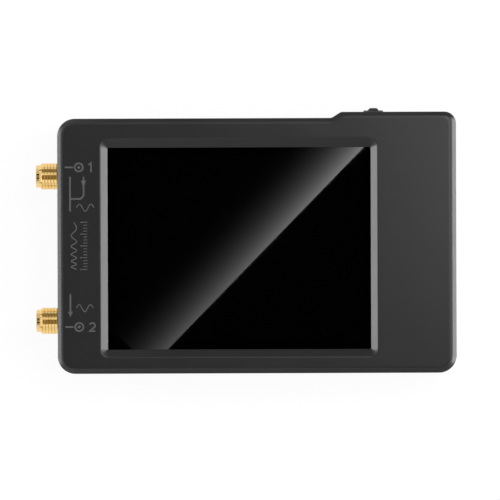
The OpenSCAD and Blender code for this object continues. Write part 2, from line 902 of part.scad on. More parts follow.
module shield_can(y) color(steel) {
    difference() {
        under_board(can_x, y, can_l, can_w, can_h);
        translate([0, 0, e])
            under_board(can_x, y, can_l - 2 * can_t, can_w - 2 * can_t, can_h - can_t + e);
    }
}

module shield_can_1() shield_can(jack1_y);
module shield_can_2() shield_can(jack2_y);

module mixer_chips() color(chip_black) {
    for (side = [-0.5, 0.5])
        under_board(can_x + side * mixer_pitch, jack1_y, mixer_w, mixer_w, chip_h);
    under_board(can_x, jack2_y, mixer_w, mixer_w, chip_h);
}

module microcontroller() color(chip_black) {
    x = chips_x + mcu_at;
    under_board(x, 0, mcu_w, mcu_w, mcu_h);
    for (i = [0 : mcu_pins - 1]) {
        at = (i - (mcu_pins - 1) / 2) * mcu_pitch;
        under_board(x + at, 0, pin_w, mcu_w + 2 * pin_l, pin_h);
        under_board(x, at, mcu_w + 2 * pin_l, pin_w, pin_h);
    }
}

module clock_generator() color(chip_black) {
    under_board(chips_x + clock_at, clock_y, clock_w, clock_w, chip_h);
}

module audio_codec() color(chip_black) {
    under_board(chips_x + codec_at, codec_y, codec_w, codec_w, chip_h);
}

module crystal() color(steel) {
    under_board(chips_x + crystal_at, clock_y, crystal_l, crystal_w, chip_h);
}

module charger_chip() color(chip_black) {
    under_board(chips_x + charger_at, codec_y, charger_l, charger_w, chip_h);
}

// ---- Battery ----

module battery_cell() color([0.7, 0.72, 0.75]) {
    translate([cell_x0 + cell_l / 2, cell_y, cell_z])
        linear_extrude(cell_h)
            rounded_rect(cell_l, cell_w, cell_r);
}

module battery_tape() color([0.9, 0.9, 0.9]) {
    translate([cell_x0 + cell_l / 2, cell_y, floor_t])
        linear_extrude(tape_t)
            square([cell_l - 2 * tape_in, cell_w - 2 * tape_in], center = true);
}

module lead_piece(a, b) {
    hull() {
        $fn = 16;
        translate(a)
            sphere(lead_r);
        translate(b)
            sphere(lead_r);
    }
}

// Two leads that rise from the long side of the cell and run into the plug
module battery_leads() color([0.7, 0.08, 0.06]) {
    plug_z = board_z - plug_h / 2;
    for (side = [-0.5, 0.5]) {
        x = plug_x + side * lead_pitch;
        y0 = cell_top_y + lead_r;
        y1 = y0 + lead_lean;
        lead_piece([x, y0, cell_z + cell_h * lead_at], [x, y1, plug_z]);
        lead_piece([x, y1, plug_z], [x, plug_y0 - plug_out - lead_r, plug_z]);
    }
}

module battery_plug() color([0.9, 0.9, 0.85]) {
    inner_l = plug_l - 2 * socket_wall;
    inner_h = plug_h - 2 * socket_wall;
    translate([plug_x - inner_l / 2 + e, plug_y0 - plug_out, board_z - plug_h + socket_wall + e])
        cube([inner_l - 2 * e, socket_w - socket_wall + plug_out, inner_h - 2 * e]);
}

module battery_socket() color([0.95, 0.93, 0.88]) {
    difference() {
        translate([plug_x - plug_l / 2, plug_y0, board_z - plug_h])
            cube([plug_l, socket_w, plug_h]);
        translate([plug_x - plug_l / 2 + socket_wall, plug_y0 - e, board_z - plug_h + socket_wall])
            cube([plug_l - 2 * socket_wall, socket_w - socket_wall + e, plug_h - 2 * socket_wall]);
    }
}

// ---- USB socket ----

// Shape with round ends along X, from x0 over length l, with the middle at usb_y and usb_z
module usb_form(x0, l, w, h) {
    translate([x0, usb_y, usb_z])
        rotate([90, 0, 90])
            slot(w, h, l);
}

module usb_shell() color(steel) {
    difference() {
        usb_form(usb_x1 - usb_l, usb_l, usb_w, usb_h);
        usb_form(usb_x1 - usb_l - e, usb_l + 2 * e, usb_w - 2 * usb_t, usb_h - 2 * usb_t);
    }
}

module usb_tongue() color(chip_black) {
    usb_form(usb_x1 - usb_l, tongue_block, usb_w - 2 * usb_t, usb_h - 2 * usb_t);
    translate([usb_x1 - usb_l + tongue_block - e, usb_y - tongue_w / 2, usb_z - tongue_t / 2])
        cube([usb_l - tongue_block - tongue_in + e, tongue_w, tongue_t]);
}

// ---- Power switch ----

// Slider block, at its off end
slider_x = power_x - power_travel / 2;
slider_h = power_h - 2 * power_wall - 2 * slider_run_h;
slider_w = power_w - 2 * power_wall - 2 * slider_run;

module power_switch_body() color(steel) {
    inner_l = slider_l + power_travel + 2 * slider_run;
    mouth_l = slider_knob_l + power_travel + 2 * slider_run;
    mouth_h = slider_knob_h + 2 * slider_run_h;
    difference() {
        translate([power_x - power_l / 2, switch_y1 - power_w, board_z - power_h])
            cube([power_l, power_w, power_h]);
        translate([power_x - inner_l / 2, switch_y1 - power_w + power_wall,
            board_z - power_h + power_wall])
            cube([inner_l, power_w - 2 * power_wall, power_h - 2 * power_wall]);
        translate([power_x - mouth_l / 2, switch_y1 - power_wall - e, power_z - mouth_h / 2])
            cube([mouth_l, power_wall + 2 * e, mouth_h]);
    }
}

module power_switch_slider() color(chip_black) {
    back_y = switch_y1 - power_w + power_wall + slider_run;
    translate([slider_x - slider_l / 2, back_y, power_z - slider_h / 2])
        cube([slider_l, slider_w, slider_h]);
    translate([slider_x - slider_knob_l / 2, back_y + slider_w - e, power_z - slider_knob_h / 2])
        cube([slider_knob_l, step_y - slider_in - back_y - slider_w + e, slider_knob_h]);
}

// ---- Jog switch ----

jog_inner_l = jog_body_l - 2 * jog_wall;
jog_inner_z = board_z - jog_body_h + jog_wall;
plate_h = jog_z - stem_h / 2 - jog_run - jog_inner_z - jog_run;
plunger_back_y = jog_back_y + jog_wall + dome_t + jog_travel + dome_gap;

module jog_switch_body() color(steel) {
    mouth_l = stem_w + 2 * (switch_y1 - pivot_y) * sin(jog_tilt) + 2 * jog_mouth_gap;
    difference() {
        translate([jog_x - jog_body_l / 2, jog_back_y, board_z - jog_body_h])
            cube([jog_body_l, switch_y1 - jog_back_y, jog_body_h]);
        translate([jog_x - jog_inner_l / 2, jog_back_y + jog_wall, jog_inner_z])
            cube([jog_inner_l, switch_y1 - jog_back_y - 2 * jog_wall, jog_body_h - 2 * jog_wall]);
        translate([jog_x - mouth_l / 2, switch_y1 - jog_wall - e, jog_inner_z])
            cube([mouth_l, jog_wall + 2 * e, jog_body_h - 2 * jog_wall]);
    }
}

module jog_dome() color(steel) {
    translate([jog_x, jog_back_y + jog_wall, jog_inner_z + (jog_body_h - 2 * jog_wall) / 2])
        rotate([-90, 0, 0])
            cylinder(r = dome_r, h = dome_t);
}

// Plate that slides in the switch, with the lever's pivot pin
module jog_plunger() color([0.85, 0.85, 0.8]) {
    plate_w = pivot_y - plunger_back_y + hub_r;
    translate([jog_x - jog_inner_l / 2 + jog_run, plunger_back_y, jog_inner_z + jog_run])
        cube([jog_inner_l - 2 * jog_run, plate_w, plate_h]);
    translate([jog_x, pivot_y, jog_inner_z + jog_run])
        cylinder(r = jog_pin_r, h = plate_h + jog_run + stem_h);
}

module jog_lever() color(chip_black) {
    difference() {
        union() {
            translate([jog_x, pivot_y, jog_z - stem_h / 2]) {
                cylinder(r = hub_r, h = stem_h);
                translate([-stem_w / 2, 0, 0])
                    cube([stem_w, wing_r - wing_t / 2, stem_h]);
            }
            // Wings: part of a ring about the pivot
            translate([jog_x, pivot_y, jog_z - wing_h / 2])
                intersection() {
                    difference() {
                        cylinder(r = wing_r, h = wing_h);
                        translate([0, 0, -e])
                            cylinder(r = wing_r - wing_t, h = wing_h + 2 * e);
                    }
                    translate([-wing_w / 2, 0, -e])
                        cube([wing_w, wing_r + e, wing_h + 2 * e]);
                }
            translate([jog_x, pivot_y, jog_z - wing_h / 2])
                linear_extrude(wing_h)
                    polygon([
                        [-knob_w / 2, wing_r - wing_t / 2], [knob_w / 2, wing_r - wing_t / 2],
                        [knob_w / 2, wing_r], [knob_tip_w / 2, wing_r + knob_out],
                        [-knob_tip_w / 2, wing_r + knob_out], [-knob_w / 2, wing_r]
                    ]);
        }
        translate([jog_x, pivot_y, jog_z - stem_h / 2 - e])
            cylinder(r = jog_pin_r + jog_run, h = stem_h + 2 * e);
    }
}

front_cover();
rear_cover();
case_screws();
screen_gasket();
touch_panel();
lcd_panel();
lcd_tray();
lcd_foam();
lcd_ribbon();
lcd_connector();
main_board();
sma1_shell();
sma1_dielectric();
sma1_contact();
sma2_shell();
sma2_dielectric();
sma2_contact();
shield_can_1();
shield_can_2();
mixer_chips();
microcontroller();
clock_generator();
audio_codec();
crystal();
charger_chip();
battery_cell();
battery_tape();
battery_leads();
battery_plug();
battery_socket();
usb_shell();
usb_tongue();
power_switch_body();
power_switch_slider();
jog_switch_body();
jog_dome();
jog_plunger();
jog_lever();
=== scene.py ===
"""Looks of a handheld two-port antenna analyzer, lying on its back on a pale floor.

Lengths are in millimetres, in the frame of the CAD part, and become metres when a piece is finished.
+Z points out of the screen, +Y is the edge with the jog lever, -X is the edge with the two jacks.
"""

import math

import bmesh
import bpy
from mathutils import Matrix, Vector


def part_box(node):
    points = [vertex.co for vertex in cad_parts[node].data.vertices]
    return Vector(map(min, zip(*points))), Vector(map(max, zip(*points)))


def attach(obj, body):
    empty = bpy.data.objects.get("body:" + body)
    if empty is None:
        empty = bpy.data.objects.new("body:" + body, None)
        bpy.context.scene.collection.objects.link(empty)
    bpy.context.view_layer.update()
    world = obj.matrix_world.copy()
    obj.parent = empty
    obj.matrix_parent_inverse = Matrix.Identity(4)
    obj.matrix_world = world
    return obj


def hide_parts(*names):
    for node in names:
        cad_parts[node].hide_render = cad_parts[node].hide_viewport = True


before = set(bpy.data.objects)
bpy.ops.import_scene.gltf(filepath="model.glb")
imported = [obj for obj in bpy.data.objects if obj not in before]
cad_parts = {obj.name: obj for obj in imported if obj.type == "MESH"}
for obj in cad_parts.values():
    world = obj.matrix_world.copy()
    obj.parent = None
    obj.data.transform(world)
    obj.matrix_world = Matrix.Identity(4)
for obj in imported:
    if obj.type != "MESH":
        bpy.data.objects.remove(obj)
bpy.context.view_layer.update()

MM = 0.001


def box_mm(node):
    """Lowest corner, highest corner and middle of a CAD node, in millimetres."""
    low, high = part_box(node)
    return low / MM, high / MM, (low + high) / (2 * MM)


# ---- Sizes of the case, as in the part ----

REAR_LOW, REAR_HIGH, _ = box_mm("rear_cover")
HALF_L = REAR_HIGH.x
HALF_W = -REAR_LOW.y
STEP_Y = REAR_HIGH.y
CASE_H = box_mm("front_cover")[1].z
CORNER_R = 4.1
STEP_R = 2.7
RAMP_FOOT_X = 17.5
RAMP_HEAD_X = 19.7
RAMP_R = 1.6  # rounding of the ramp's foot and head
EDGE_W = 1.5
WALL = 2.0
FLOOR_T = 1.8
SPLIT_Z = 10.2
SEAM = 0.25
LIP_H = 1.2
LIP_T = 0.9
LIP_GAP = 0.1
EDGE_BREAK = 0.06  # rounding of the moulded edges at the seam

INK_T = 0.015  # thickness of the printed legend, whose top is the top of the case
FACE_Z = CASE_H - INK_T
FRONT_IN_Z = box_mm("screen_gasket")[1].z

WINDOW = box_mm("touch_panel")[2]
WINDOW_L = 61.4
WINDOW_W = 47.1
WINDOW_R = 0.3
RIM_R = 1.9
BEVEL_LEFT = 1.66
BEVEL_RIGHT = 1.56
BEVEL_TOP = 2.1
BEVEL_BOTTOM = 1.8
BEVEL_D = 1.46
BEVEL_FOOT_Z = CASE_H - BEVEL_D

POST_X = 42.2
POST_Y = 25.45
POST_R = 2.5
BOARD_Z = box_mm("main_board")[0].z
BOARD_TOP = box_mm("main_board")[1].z
RIB_XS = (-17.5, 13.5)
RIB_T = 1.2
RIB_REACH = 1.7
POSTS = [(sx * POST_X, sy * POST_Y) for sx in (-1, 1) for sy in (-1, 1)]
SUNK = 0.3  # how far an added solid goes into the one that it joins
CUT_PAST = 0.5  # how far a cutter goes past what it cuts

SCREW_R = 1.0
SCREW_L = 12.0
HEAD_R = 1.8
HEAD_H = 1.2
SEAT_D = 1.5
SCREW_GAP = 0.15
THREAD_GAP = 0.02
PILOT_END = 0.6

JACK_YS = (box_mm("sma1_contact")[2].y, box_mm("sma2_contact")[2].y)
JACK_Z = SPLIT_Z
JACK_R = 3.175
JACK_GAP = 0.2

ARC_STEPS = 12
ROUND_STEPS = 48
LEAST_R = 0.2  # of a rounded corner that has been moved inwards
SHARP_ANGLE = math.radians(32)

# ---- Mesh helpers: everything is built in millimetres ----


def outline(corners, inset=0.0, steps=ARC_STEPS):
    """Points round a counter-clockwise polygon of (x, y, radius) corners, moved inwards by inset."""
    points = []
    for i, (x, y, radius) in enumerate(corners):
        corner = Vector((x, y))
        before = (corner - Vector(corners[i - 1][:2])).normalized()
        after = (Vector(corners[(i + 1) % len(corners)][:2]) - corner).normalized()
        turn = math.atan2(before.cross(after), before.dot(after))
        left_before, left_after = (Vector((-d.y, d.x)) for d in (before, after))
        corner = corner + (left_before + left_after) * (inset / (1 + left_before.dot(left_after)))
        if not steps:
            points.append(corner)
            continue
        r = max(radius - math.copysign(inset, turn), LEAST_R)
        start = corner - before * r * math.tan(abs(turn) / 2)
        centre = start + left_before * math.copysign(r, turn)
        for k in range(steps + 1):
            arm = start - centre
            arm.rotate(Matrix.Rotation(turn * k / steps, 2))
            points.append(centre + arm)
    return points


def rect(x0, y0, x1, y1, r):
    return [(x0, y0, r), (x1, y0, r), (x1, y1, r), (x0, y1, r)]


def ring(bm, points, z):
    return [bm.verts.new((p[0], p[1], z)) for p in points]


def circle(r, steps=ROUND_STEPS):
    return [
        (r * math.cos(2 * math.pi * i / steps), r * math.sin(2 * math.pi * i / steps))
        for i in range(steps)
    ]


def loft(bm, rings, closed=False):
    """Joins each ring of points to the next one, and the last to the first if closed."""
    pairs = list(zip(rings, rings[1:]))
    if closed:
        pairs.append((rings[-1], rings[0]))
    for a, b in pairs:
        for i in range(len(a)):
            j = (i + 1) % len(a)
            bm.faces.new((a[i], a[j], b[j], b[i]))


def fill_between(bm, outer, inner):
    """Flat face with a hole, between two rings at one height."""
    edges = []
    for r in (outer, inner):
        for i in range(len(r)):
            pair = (r[i], r[(i + 1) % len(r)])
            edges.append(bm.edges.get(pair) or bm.edges.new(pair))
    bmesh.ops.triangle_fill(bm, edges=edges, use_beauty=True, use_dissolve=False)


def cap(bm, first, last):
    """Closes a loft at its first and its last ring."""
    bm.faces.new(list(reversed(first)))
    bm.faces.new(last)


def capped_loft(bm, rings):
    loft(bm, rings)
    cap(bm, rings[0], rings[-1])


def prism(bm, points, z0, z1):
    capped_loft(bm, [ring(bm, points, z) for z in (z0, z1)])


def solid(bm, layers, steps=ARC_STEPS):
    """Closed solid through layers of (corners, inset, z), from one capped end to the other."""
    capped_loft(bm, [ring(bm, outline(corners, inset, steps), z) for corners, inset, z in layers])


def turned(bm, profile, steps=ROUND_STEPS, matrix=None):
    """Closed solid of revolution about +Z, through (r, z) points of which the first and last are capped."""
    rings = [ring(bm, circle(r, steps), z) for r, z in profile]
    capped_loft(bm, rings)
    if matrix:
        bmesh.ops.transform(bm, matrix=matrix, verts=[v for r in rings for v in r])


def block(bm, low, high, r=0.0, chamfer=0.0):
    """Box between two corners, with its upright edges rounded by r and its top and bottom chamfered."""
    sides = rect(low[0], low[1], high[0], high[1], r)
    layers = [(sides, 0, low[2]), (sides, 0, high[2])]
    if chamfer:
        layers = [
            (sides, chamfer, low[2]),
            (sides, 0, low[2] + chamfer),
            (sides, 0, high[2] - chamfer),
            (sides, chamfer, high[2]),
        ]
    solid(bm, layers, 4 if r else 0)


def new_object(name, bm):
    bmesh.ops.recalc_face_normals(bm, faces=bm.faces)
    mesh = bpy.data.meshes.new(name)
    bm.to_mesh(mesh)
    bm.free()
    made = bpy.data.objects.new(name, mesh)
    bpy.context.scene.collection.objects.link(made)
    return made


def baked(obj):
    """Replaces the object's mesh by what its modifiers make of it."""
    bpy.context.view_layer.update()
    graph = bpy.context.evaluated_depsgraph_get()
    mesh = bpy.data.meshes.new_from_object(obj.evaluated_get(graph))
    obj.modifiers.clear()
    old, obj.data = obj.data, mesh
    bpy.data.meshes.remove(old)
    mesh.name = obj.name


def combine(obj, bm, operation):
    """Adds (UNION) the solids of bm to the object, or cuts (DIFFERENCE) them out of it."""
    other = new_object("tool", bm)
    modifier = obj.modifiers.new("combine", "BOOLEAN")
    modifier.operation = operation
    modifier.solver = "EXACT"
    modifier.object = other
    baked(obj)
    bpy.data.objects.remove(other)


def finish_piece(obj, material, body="root", replaces=(), bevel=0.0):
    """Turns the piece to metres, dresses it, smooths its shading and puts it on its body."""
    obj.data.transform(Matrix.Scale(MM, 4))
    obj.data.materials.clear()
    obj.data.materials.append(material)
    if bevel:
        modifier = obj.modifiers.new("bevel", "BEVEL")
        modifier.width = bevel * MM
        modifier.segments = 2
        modifier.limit_method = "ANGLE"
        modifier.angle_limit = SHARP_ANGLE
        baked(obj)
    obj.data.polygons.foreach_set("use_smooth", [True] * len(obj.data.polygons))
    obj.data.set_sharp_from_angle(angle=SHARP_ANGLE)
    weighted = obj.modifiers.new("weighted", "WEIGHTED_NORMAL")
    weighted.keep_sharp = True
    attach(obj, body)
    if replaces:
        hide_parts(*replaces)


# ---- Material helpers ----


def node(tree, kind, inputs=None, **settings):
    """Adds a shader node. A socket among the inputs is linked, and anything else is set."""
    made = tree.nodes.new("ShaderNode" + kind)
    for key, value in settings.items():
        setattr(made, key, value)
    for key, value in (inputs or {}).items():
        socket = made.inputs[key]
        if isinstance(value, bpy.types.NodeSocket):
            tree.links.new(value, socket)
        else:
            socket.default_value = value
    return made


def maths(tree, operation, *values):
    return node(tree, "Math", dict(enumerate(values)), operation=operation).outputs[0]


def vector_maths(tree, operation, *values, output=0):
    return node(tree, "VectorMath", dict(enumerate(values)), operation=operation).outputs[output]


def scaled(tree, vector, factor):
    made = node(tree, "VectorMath", {0: vector}, operation="SCALE")
    made.inputs["Scale"].default_value = factor
    return made.outputs["Vector"]


def feed(tree, shader, **sockets):
    """Links each value to the shader's socket of that name, whose spaces are written as underscores."""
    for name, value in sockets.items():
        tree.links.new(value, shader.inputs[name.replace("_", " ")])


def empty_tree(owner):
    """Node tree of a new material or world, without any node."""
    owner.use_nodes = True
    owner.node_tree.nodes.clear()
    return owner.node_tree


def grey(value):
    return (value, value, value, 1)


def new_material(name):
    """Returns a material, its tree, its Principled shader and the object coordinates in mm."""
    material = bpy.data.materials.new(name)
    material.use_nodes = True
    tree = material.node_tree
    shader = tree.nodes["Principled BSDF"]
    place = node(tree, "TexCoord").outputs["Object"]
    return material, tree, shader, scaled(tree, place, 1 / MM)


def noise(tree, place, size, detail=2.0, rough=0.5):
    """Noise from 0 to 1 with features of about size mm."""
    inputs = {"Vector": place, "Scale": 1 / size, "Detail": detail, "Roughness": rough}
    return node(tree, "TexNoise", inputs).outputs[0]


def spread(tree, value, low, high, start=0.3, end=0.7):
    """Maps a value from start..end to low..high."""
    inputs = {"Value": value, "From Min": start, "From Max": end, "To Min": low, "To Max": high}
    return node(tree, "MapRange", inputs).outputs["Result"]


def mix_colour(tree, factor, a, b):
    """Mixes two colours. The node's socket 0 is the factor, and 6 and 7 are the colours."""
    return node(tree, "Mix", {0: factor, 6: a, 7: b}, data_type="RGBA").outputs[2]


def bump(tree, height, depth):
    """Bump whose height of 0..1 stands for depth mm."""
    inputs = {"Height": height, "Distance": depth * MM, "Strength": 1.0}
    return node(tree, "Bump", inputs).outputs["Normal"]


def moulded(name, colour, roughness, grain=0.18, grain_depth=0.006, blotch=9.0, vary=0.12):
    """Moulded plastic, rubber or nylon: spark-eroded grain, slow colour and gloss changes."""
    material, tree, shader, place = new_material(name)
    slow = noise(tree, place, blotch, 3)
    fine = noise(tree, place, grain, 3, 0.6)
    # The ranges are wider than the noise, so that nothing is cut off at their ends
    dark = (*(c * (1 - 2 * vary) for c in colour), 1)
    light = (*(c * (1 + 2 * vary) for c in colour), 1)
    shade = spread(tree, maths(tree, "ADD", slow, fine), 0, 1, 0.2, 1.8)
    gloss = spread(tree, slow, roughness * 0.82, roughness * 1.18, -0.3, 1.3)
    grain_bump = bump(tree, fine, grain_depth)
    feed(tree, shader, Base_Color=mix_colour(tree, shade, dark, light), Roughness=gloss, Normal=grain_bump)
    return material


def metal(name, colour, tint, roughness, brush=(1, 1, 1), scratch=0.25, depth=0.002):
    """Metal with fine scratches drawn out along the axis whose brush value is small, and faint tarnish."""
    material, tree, shader, place = new_material(name)
    lines = noise(tree, vector_maths(tree, "MULTIPLY", place, brush), scratch, 4, 0.6)
    slow = noise(tree, place, 2.5, 3)
    tarnish = mix_colour(tree, spread(tree, slow, 0, 1), (*colour, 1), (*tint, 1))
    gloss = spread(tree, lines, roughness * 0.75, roughness * 1.3)
    feed(tree, shader, Base_Color=tarnish, Roughness=gloss, Normal=bump(tree, lines, depth))
    shader.inputs["Metallic"].default_value = 1
    return material


def make_glass():
    """Black cover glass: mirror gloss, faint finger smudges, the display's active area just visible."""
    material, tree, shader, place = new_material("screen_glass")
    smudge = noise(tree, place, 7, 4, 0.65)
    fibres = noise(tree, place, 0.8, 5, 0.7)
    gloss = spread(tree, maths(tree, "MULTIPLY", smudge, fibres), 0.004, 0.012, 0.15, 0.4)
    active_half = (28.8, 21.6)
    from_middle = vector_maths(tree, "ADD", place, (-WINDOW.x, -WINDOW.y, 0))
    split = node(tree, "SeparateXYZ", {"Vector": from_middle}).outputs
    inside = [
        maths(tree, "LESS_THAN", maths(tree, "ABSOLUTE", split[axis]), half)
        for axis, half in zip("XY", active_half)
    ]
    active = maths(tree, "MULTIPLY", *inside)
    colour = mix_colour(tree, active, grey(0.0004), (0.0006, 0.0006, 0.0009, 1))
    feed(tree, shader, Base_Color=colour, Roughness=gloss)
    shader.inputs["IOR"].default_value = 1.5
    return material


def make_gold():
    """Bright gold plate over turned brass."""
    material, tree, shader, place = new_material("gold_plate")
    lathe = noise(tree, vector_maths(tree, "MULTIPLY", place, (1, 0.1, 0.1)), 0.06, 3, 0.6)
    slow = noise(tree, place, 1.2, 3)
    colour = mix_colour(tree, spread(tree, slow, 0, 1), (0.88, 0.6, 0.22, 1), (0.93, 0.67, 0.29, 1))
    gloss = spread(tree, lathe, 0.07, 0.11)
    feed(tree, shader, Base_Color=colour, Roughness=gloss, Normal=bump(tree, lathe, 0.0005))
    shader.inputs["Metallic"].default_value = 1
    return material


def make_board():
    """Green solder mask over copper tracks and a weave of glass cloth."""
    material, tree, shader, place = new_material("board")
    sizes = {"Scale": 0.45, "Mortar Size": 0.06, "Brick Width": 1.7, "Row Height": 0.5}
    shades = {"Color1": grey(0.2), "Color2": grey(0.5), "Mortar": grey(1.0)}
    tracks = node(tree, "TexBrick", {"Vector": place, **sizes, **shades}).outputs["Color"]
    cloth = noise(tree, place, 0.5, 2)
    mask = mix_colour(tree, tracks, (0.016, 0.11, 0.05, 1), (0.04, 0.2, 0.1, 1))
    colour = mix_colour(tree, spread(tree, cloth, 0, 0.4), mask, (0.02, 0.13, 0.06, 1))
    gloss = spread(tree, cloth, 0.22, 0.36)
    feed(tree, shader, Base_Color=colour, Roughness=gloss, Normal=bump(tree, tracks, 0.03))
    return material


def make_foam():
    """Closed-cell black foam."""
    material, tree, shader, place = new_material("foam")
    cells = node(tree, "TexVoronoi", {"Vector": place, "Scale": 3.5}).outputs["Distance"]
    colour = mix_colour(tree, spread(tree, cells, 0, 1, 0.1, 0.7), grey(0.016), grey(0.045))
    feed(tree, shader, Base_Color=colour, Normal=bump(tree, cells, 0.08))
    shader.inputs["Roughness"].default_value = 0.9
    return material


def make_ribbon():
    """Amber film with copper lines along it."""
    material, tree, shader, place = new_material("ribbon")
    inputs = {"Vector": place, "Scale": 0.6, "Distortion": 0.0}
    lines = node(tree, "TexWave", inputs, wave_type="BANDS", bands_direction="Y").outputs["Fac"]
    haze = noise(tree, place, 2, 3)
    edges = spread(tree, lines, 0, 1, 0.45, 0.55)
    colour = mix_colour(tree, edges, (0.5, 0.25, 0.05, 1), (0.62, 0.36, 0.1, 1))
    gloss = spread(tree, haze, 0.3, 0.42)
    feed(tree, shader, Base_Color=colour, Roughness=gloss, Normal=bump(tree, lines, 0.015))
    return material


CASE = moulded("case_plastic", (0.02, 0.02, 0.0205), 0.29, grain=0.22, grain_depth=0.0018, vary=0.08)
GLASS = make_glass()
GOLD = make_gold()
PTFE = moulded("ptfe", (0.8, 0.79, 0.76), 0.38, grain=0.3, grain_depth=0.003, vary=0.03)
STEEL = metal("steel", (0.6, 0.6, 0.61), (0.5, 0.5, 0.5), 0.28, brush=(0.15, 1, 1))
TIN = metal("tin", (0.66, 0.66, 0.64), (0.58, 0.57, 0.54), 0.34, brush=(1, 0.3, 1), scratch=0.5)
BLACK = moulded("black_moulding", (0.02, 0.02, 0.021), 0.36, grain=0.12, grain_depth=0.004)
IVORY = moulded("ivory_moulding", (0.72, 0.68, 0.56), 0.4, grain=0.25)
BOARD = make_board()
FOAM = make_foam()
FOIL = metal("cell_foil", (0.55, 0.56, 0.58), (0.47, 0.48, 0.5), 0.35, scratch=1.5, depth=0.03)
TAPE = moulded("tape", (0.72, 0.7, 0.64), 0.55, grain=0.4, grain_depth=0.01)
JACKET = moulded("lead_jacket", (0.42, 0.035, 0.025), 0.45, grain=0.3)
RIBBON = make_ribbon()
LCD = moulded("lcd_glass", (0.018, 0.018, 0.022), 0.12, grain=0.5, grain_depth=0.0008)
INK = moulded("legend_ink", (0.09, 0.09, 0.092), 0.6, grain=0.1, grain_depth=0.003, blotch=1.5, vary=0.16)

CAD_FINISHES = (
    (GLASS, "screen_glass", ["touch_panel"]),
    (FOAM, "foam", ["screen_gasket", "lcd_foam"]),
    (LCD, "lcd_glass", ["lcd_panel"]),
    (IVORY, "ivory_moulding", ["lcd_tray", "lcd_connector", "jog_plunger"]),
    (IVORY, "ivory_moulding", ["battery_plug", "battery_socket"]),
    (RIBBON, "ribbon", ["lcd_ribbon"]),
    (BOARD, "board", ["main_board"]),
    (PTFE, "ptfe", ["sma1_dielectric", "sma2_dielectric"]),
    (GOLD, "gold_plate", ["sma1_contact", "sma2_contact"]),
    (TIN, "tin", ["shield_can_1", "shield_can_2"]),
    (BLACK, "black_moulding", ["mixer_chips", "microcontroller", "clock_generator", "audio_codec"]),
    (BLACK, "black_moulding", ["charger_chip", "usb_tongue"]),
    (STEEL, "steel", ["crystal", "usb_shell", "power_switch_body", "jog_switch_body", "jog_dome"]),
    (FOIL, "cell_foil", ["battery_cell"]),
    (TAPE, "tape", ["battery_tape"]),
    (JACKET, "lead_jacket", ["battery_leads"]),
)
for finish, slot_name, names in CAD_FINISHES:
    for name in names:
        cad_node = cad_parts[name]
        cad_node.data.materials.clear()
        cad_node.data.materials.append(finish)

# ---- Covers ----

CASE_CORNERS = [
    (-HALF_L, -HALF_W, CORNER_R),
    (HALF_L, -HALF_W, CORNER_R),
    (HALF_L, STEP_Y, STEP_R),
    (RAMP_HEAD_X, STEP_Y, RAMP_R),
    (RAMP_FOOT_X, HALF_W, RAMP_R),
    (-HALF_L, HALF_W, CORNER_R),
]
EDGE_SLOPE = math.radians(40)
EDGE_OUTER_R = 0.2
EDGE_INNER_R = 1.25
# How much wider and deeper the front's edge is at the left and at the right end of the case
EDGE_GROWTH = {-1: (0.1, 0.0), 1: (0.2, 0.18)}
EDGE_STEPS = 6


def edge_fillet(face_z, up):
    """(inset, z) steps of the edge, from the wall to the face: a chamfer that is rounded into both.

    up is 1 for the front and -1 for the rear.
    """
    upright = math.radians(90)
    outer = [upright + (EDGE_SLOPE - upright) * k / EDGE_STEPS for k in range(EDGE_STEPS + 1)]
    inner = [EDGE_SLOPE * (1 - k / EDGE_STEPS) for k in range(EDGE_STEPS + 1)]
    steps = [(EDGE_OUTER_R * (1 - math.sin(a)), EDGE_OUTER_R * math.cos(a)) for a in outer]
    x1 = EDGE_W - EDGE_INNER_R * math.sin(EDGE_SLOPE)
    z1 = steps[-1][1] + (x1 - steps[-1][0]) * math.tan(EDGE_SLOPE)
    for a in inner:
        x = x1 + EDGE_INNER_R * (math.sin(EDGE_SLOPE) - math.sin(a))
        steps.append((x, z1 + EDGE_INNER_R * (math.cos(a) - math.cos(EDGE_SLOPE))))
    top = steps[-1][1]
    return [(inset, face_z - up * (top - z)) for inset, z in steps]


def edge_ring(bm, inset, z):
    """Ring of the front's edge, which is larger at the two ends of the case."""
    start = HALF_L - CORNER_R - EDGE_W
    points = []
    for p in outline(CASE_CORNERS, inset):
        height = z
        for side, (wider, deeper) in EDGE_GROWTH.items():
            share = min(max((side * p.x - start) / (HALF_L - start - inset), 0), 1)
            p.x -= side * share * wider * inset
            height -= share * deeper * (FACE_Z - z)
        points.append(bm.verts.new((p.x, p.y, height)))
    return points


def window_corners(t):
    """Corners of the window from its opening (t = 0) to the rim of its bevel (t = 1)."""
    r = WINDOW_R + (RIM_R - WINDOW_R) * t
    x, y = WINDOW_L / 2, WINDOW_W / 2
    return rect(
        WINDOW.x - x - BEVEL_LEFT * t,
        WINDOW.y - y - BEVEL_BOTTOM * t,
        WINDOW.x + x + BEVEL_RIGHT * t,
        WINDOW.y + y + BEVEL_TOP * t,
        r,
    )


def add_posts(bm, z0, z1):
    for x, y in POSTS:
        turned(bm, [(POST_R, z0), (POST_R, z1)], matrix=Matrix.Translation((x, y, 0)))


def add_ribs(bm, z0, z1):
    for x in RIB_XS:
        for side in (-1, 1):
            ends = sorted((side * (HALF_W - WALL - RIB_REACH), side * (HALF_W - WALL + SUNK)))
            block(bm, (x - RIB_T / 2, ends[0], z0), (x + RIB_T / 2, ends[1], z1))


def slot_cutter(bm, length, width, depth, chamfer, r, matrix):
    """Cutter that goes depth into a wall at z = 0, along -Z, with a chamfered mouth and rounded corners."""
    sides = rect(-length / 2, -width / 2, length / 2, width / 2, r)
    before = len(bm.verts)
    solid(bm, [(sides, 0, -depth), (sides, 0, -chamfer), (sides, -2 * chamfer, chamfer)], 8)
    bm.verts.ensure_lookup_table()
    bmesh.ops.transform(bm, matrix=matrix, verts=bm.verts[before:])


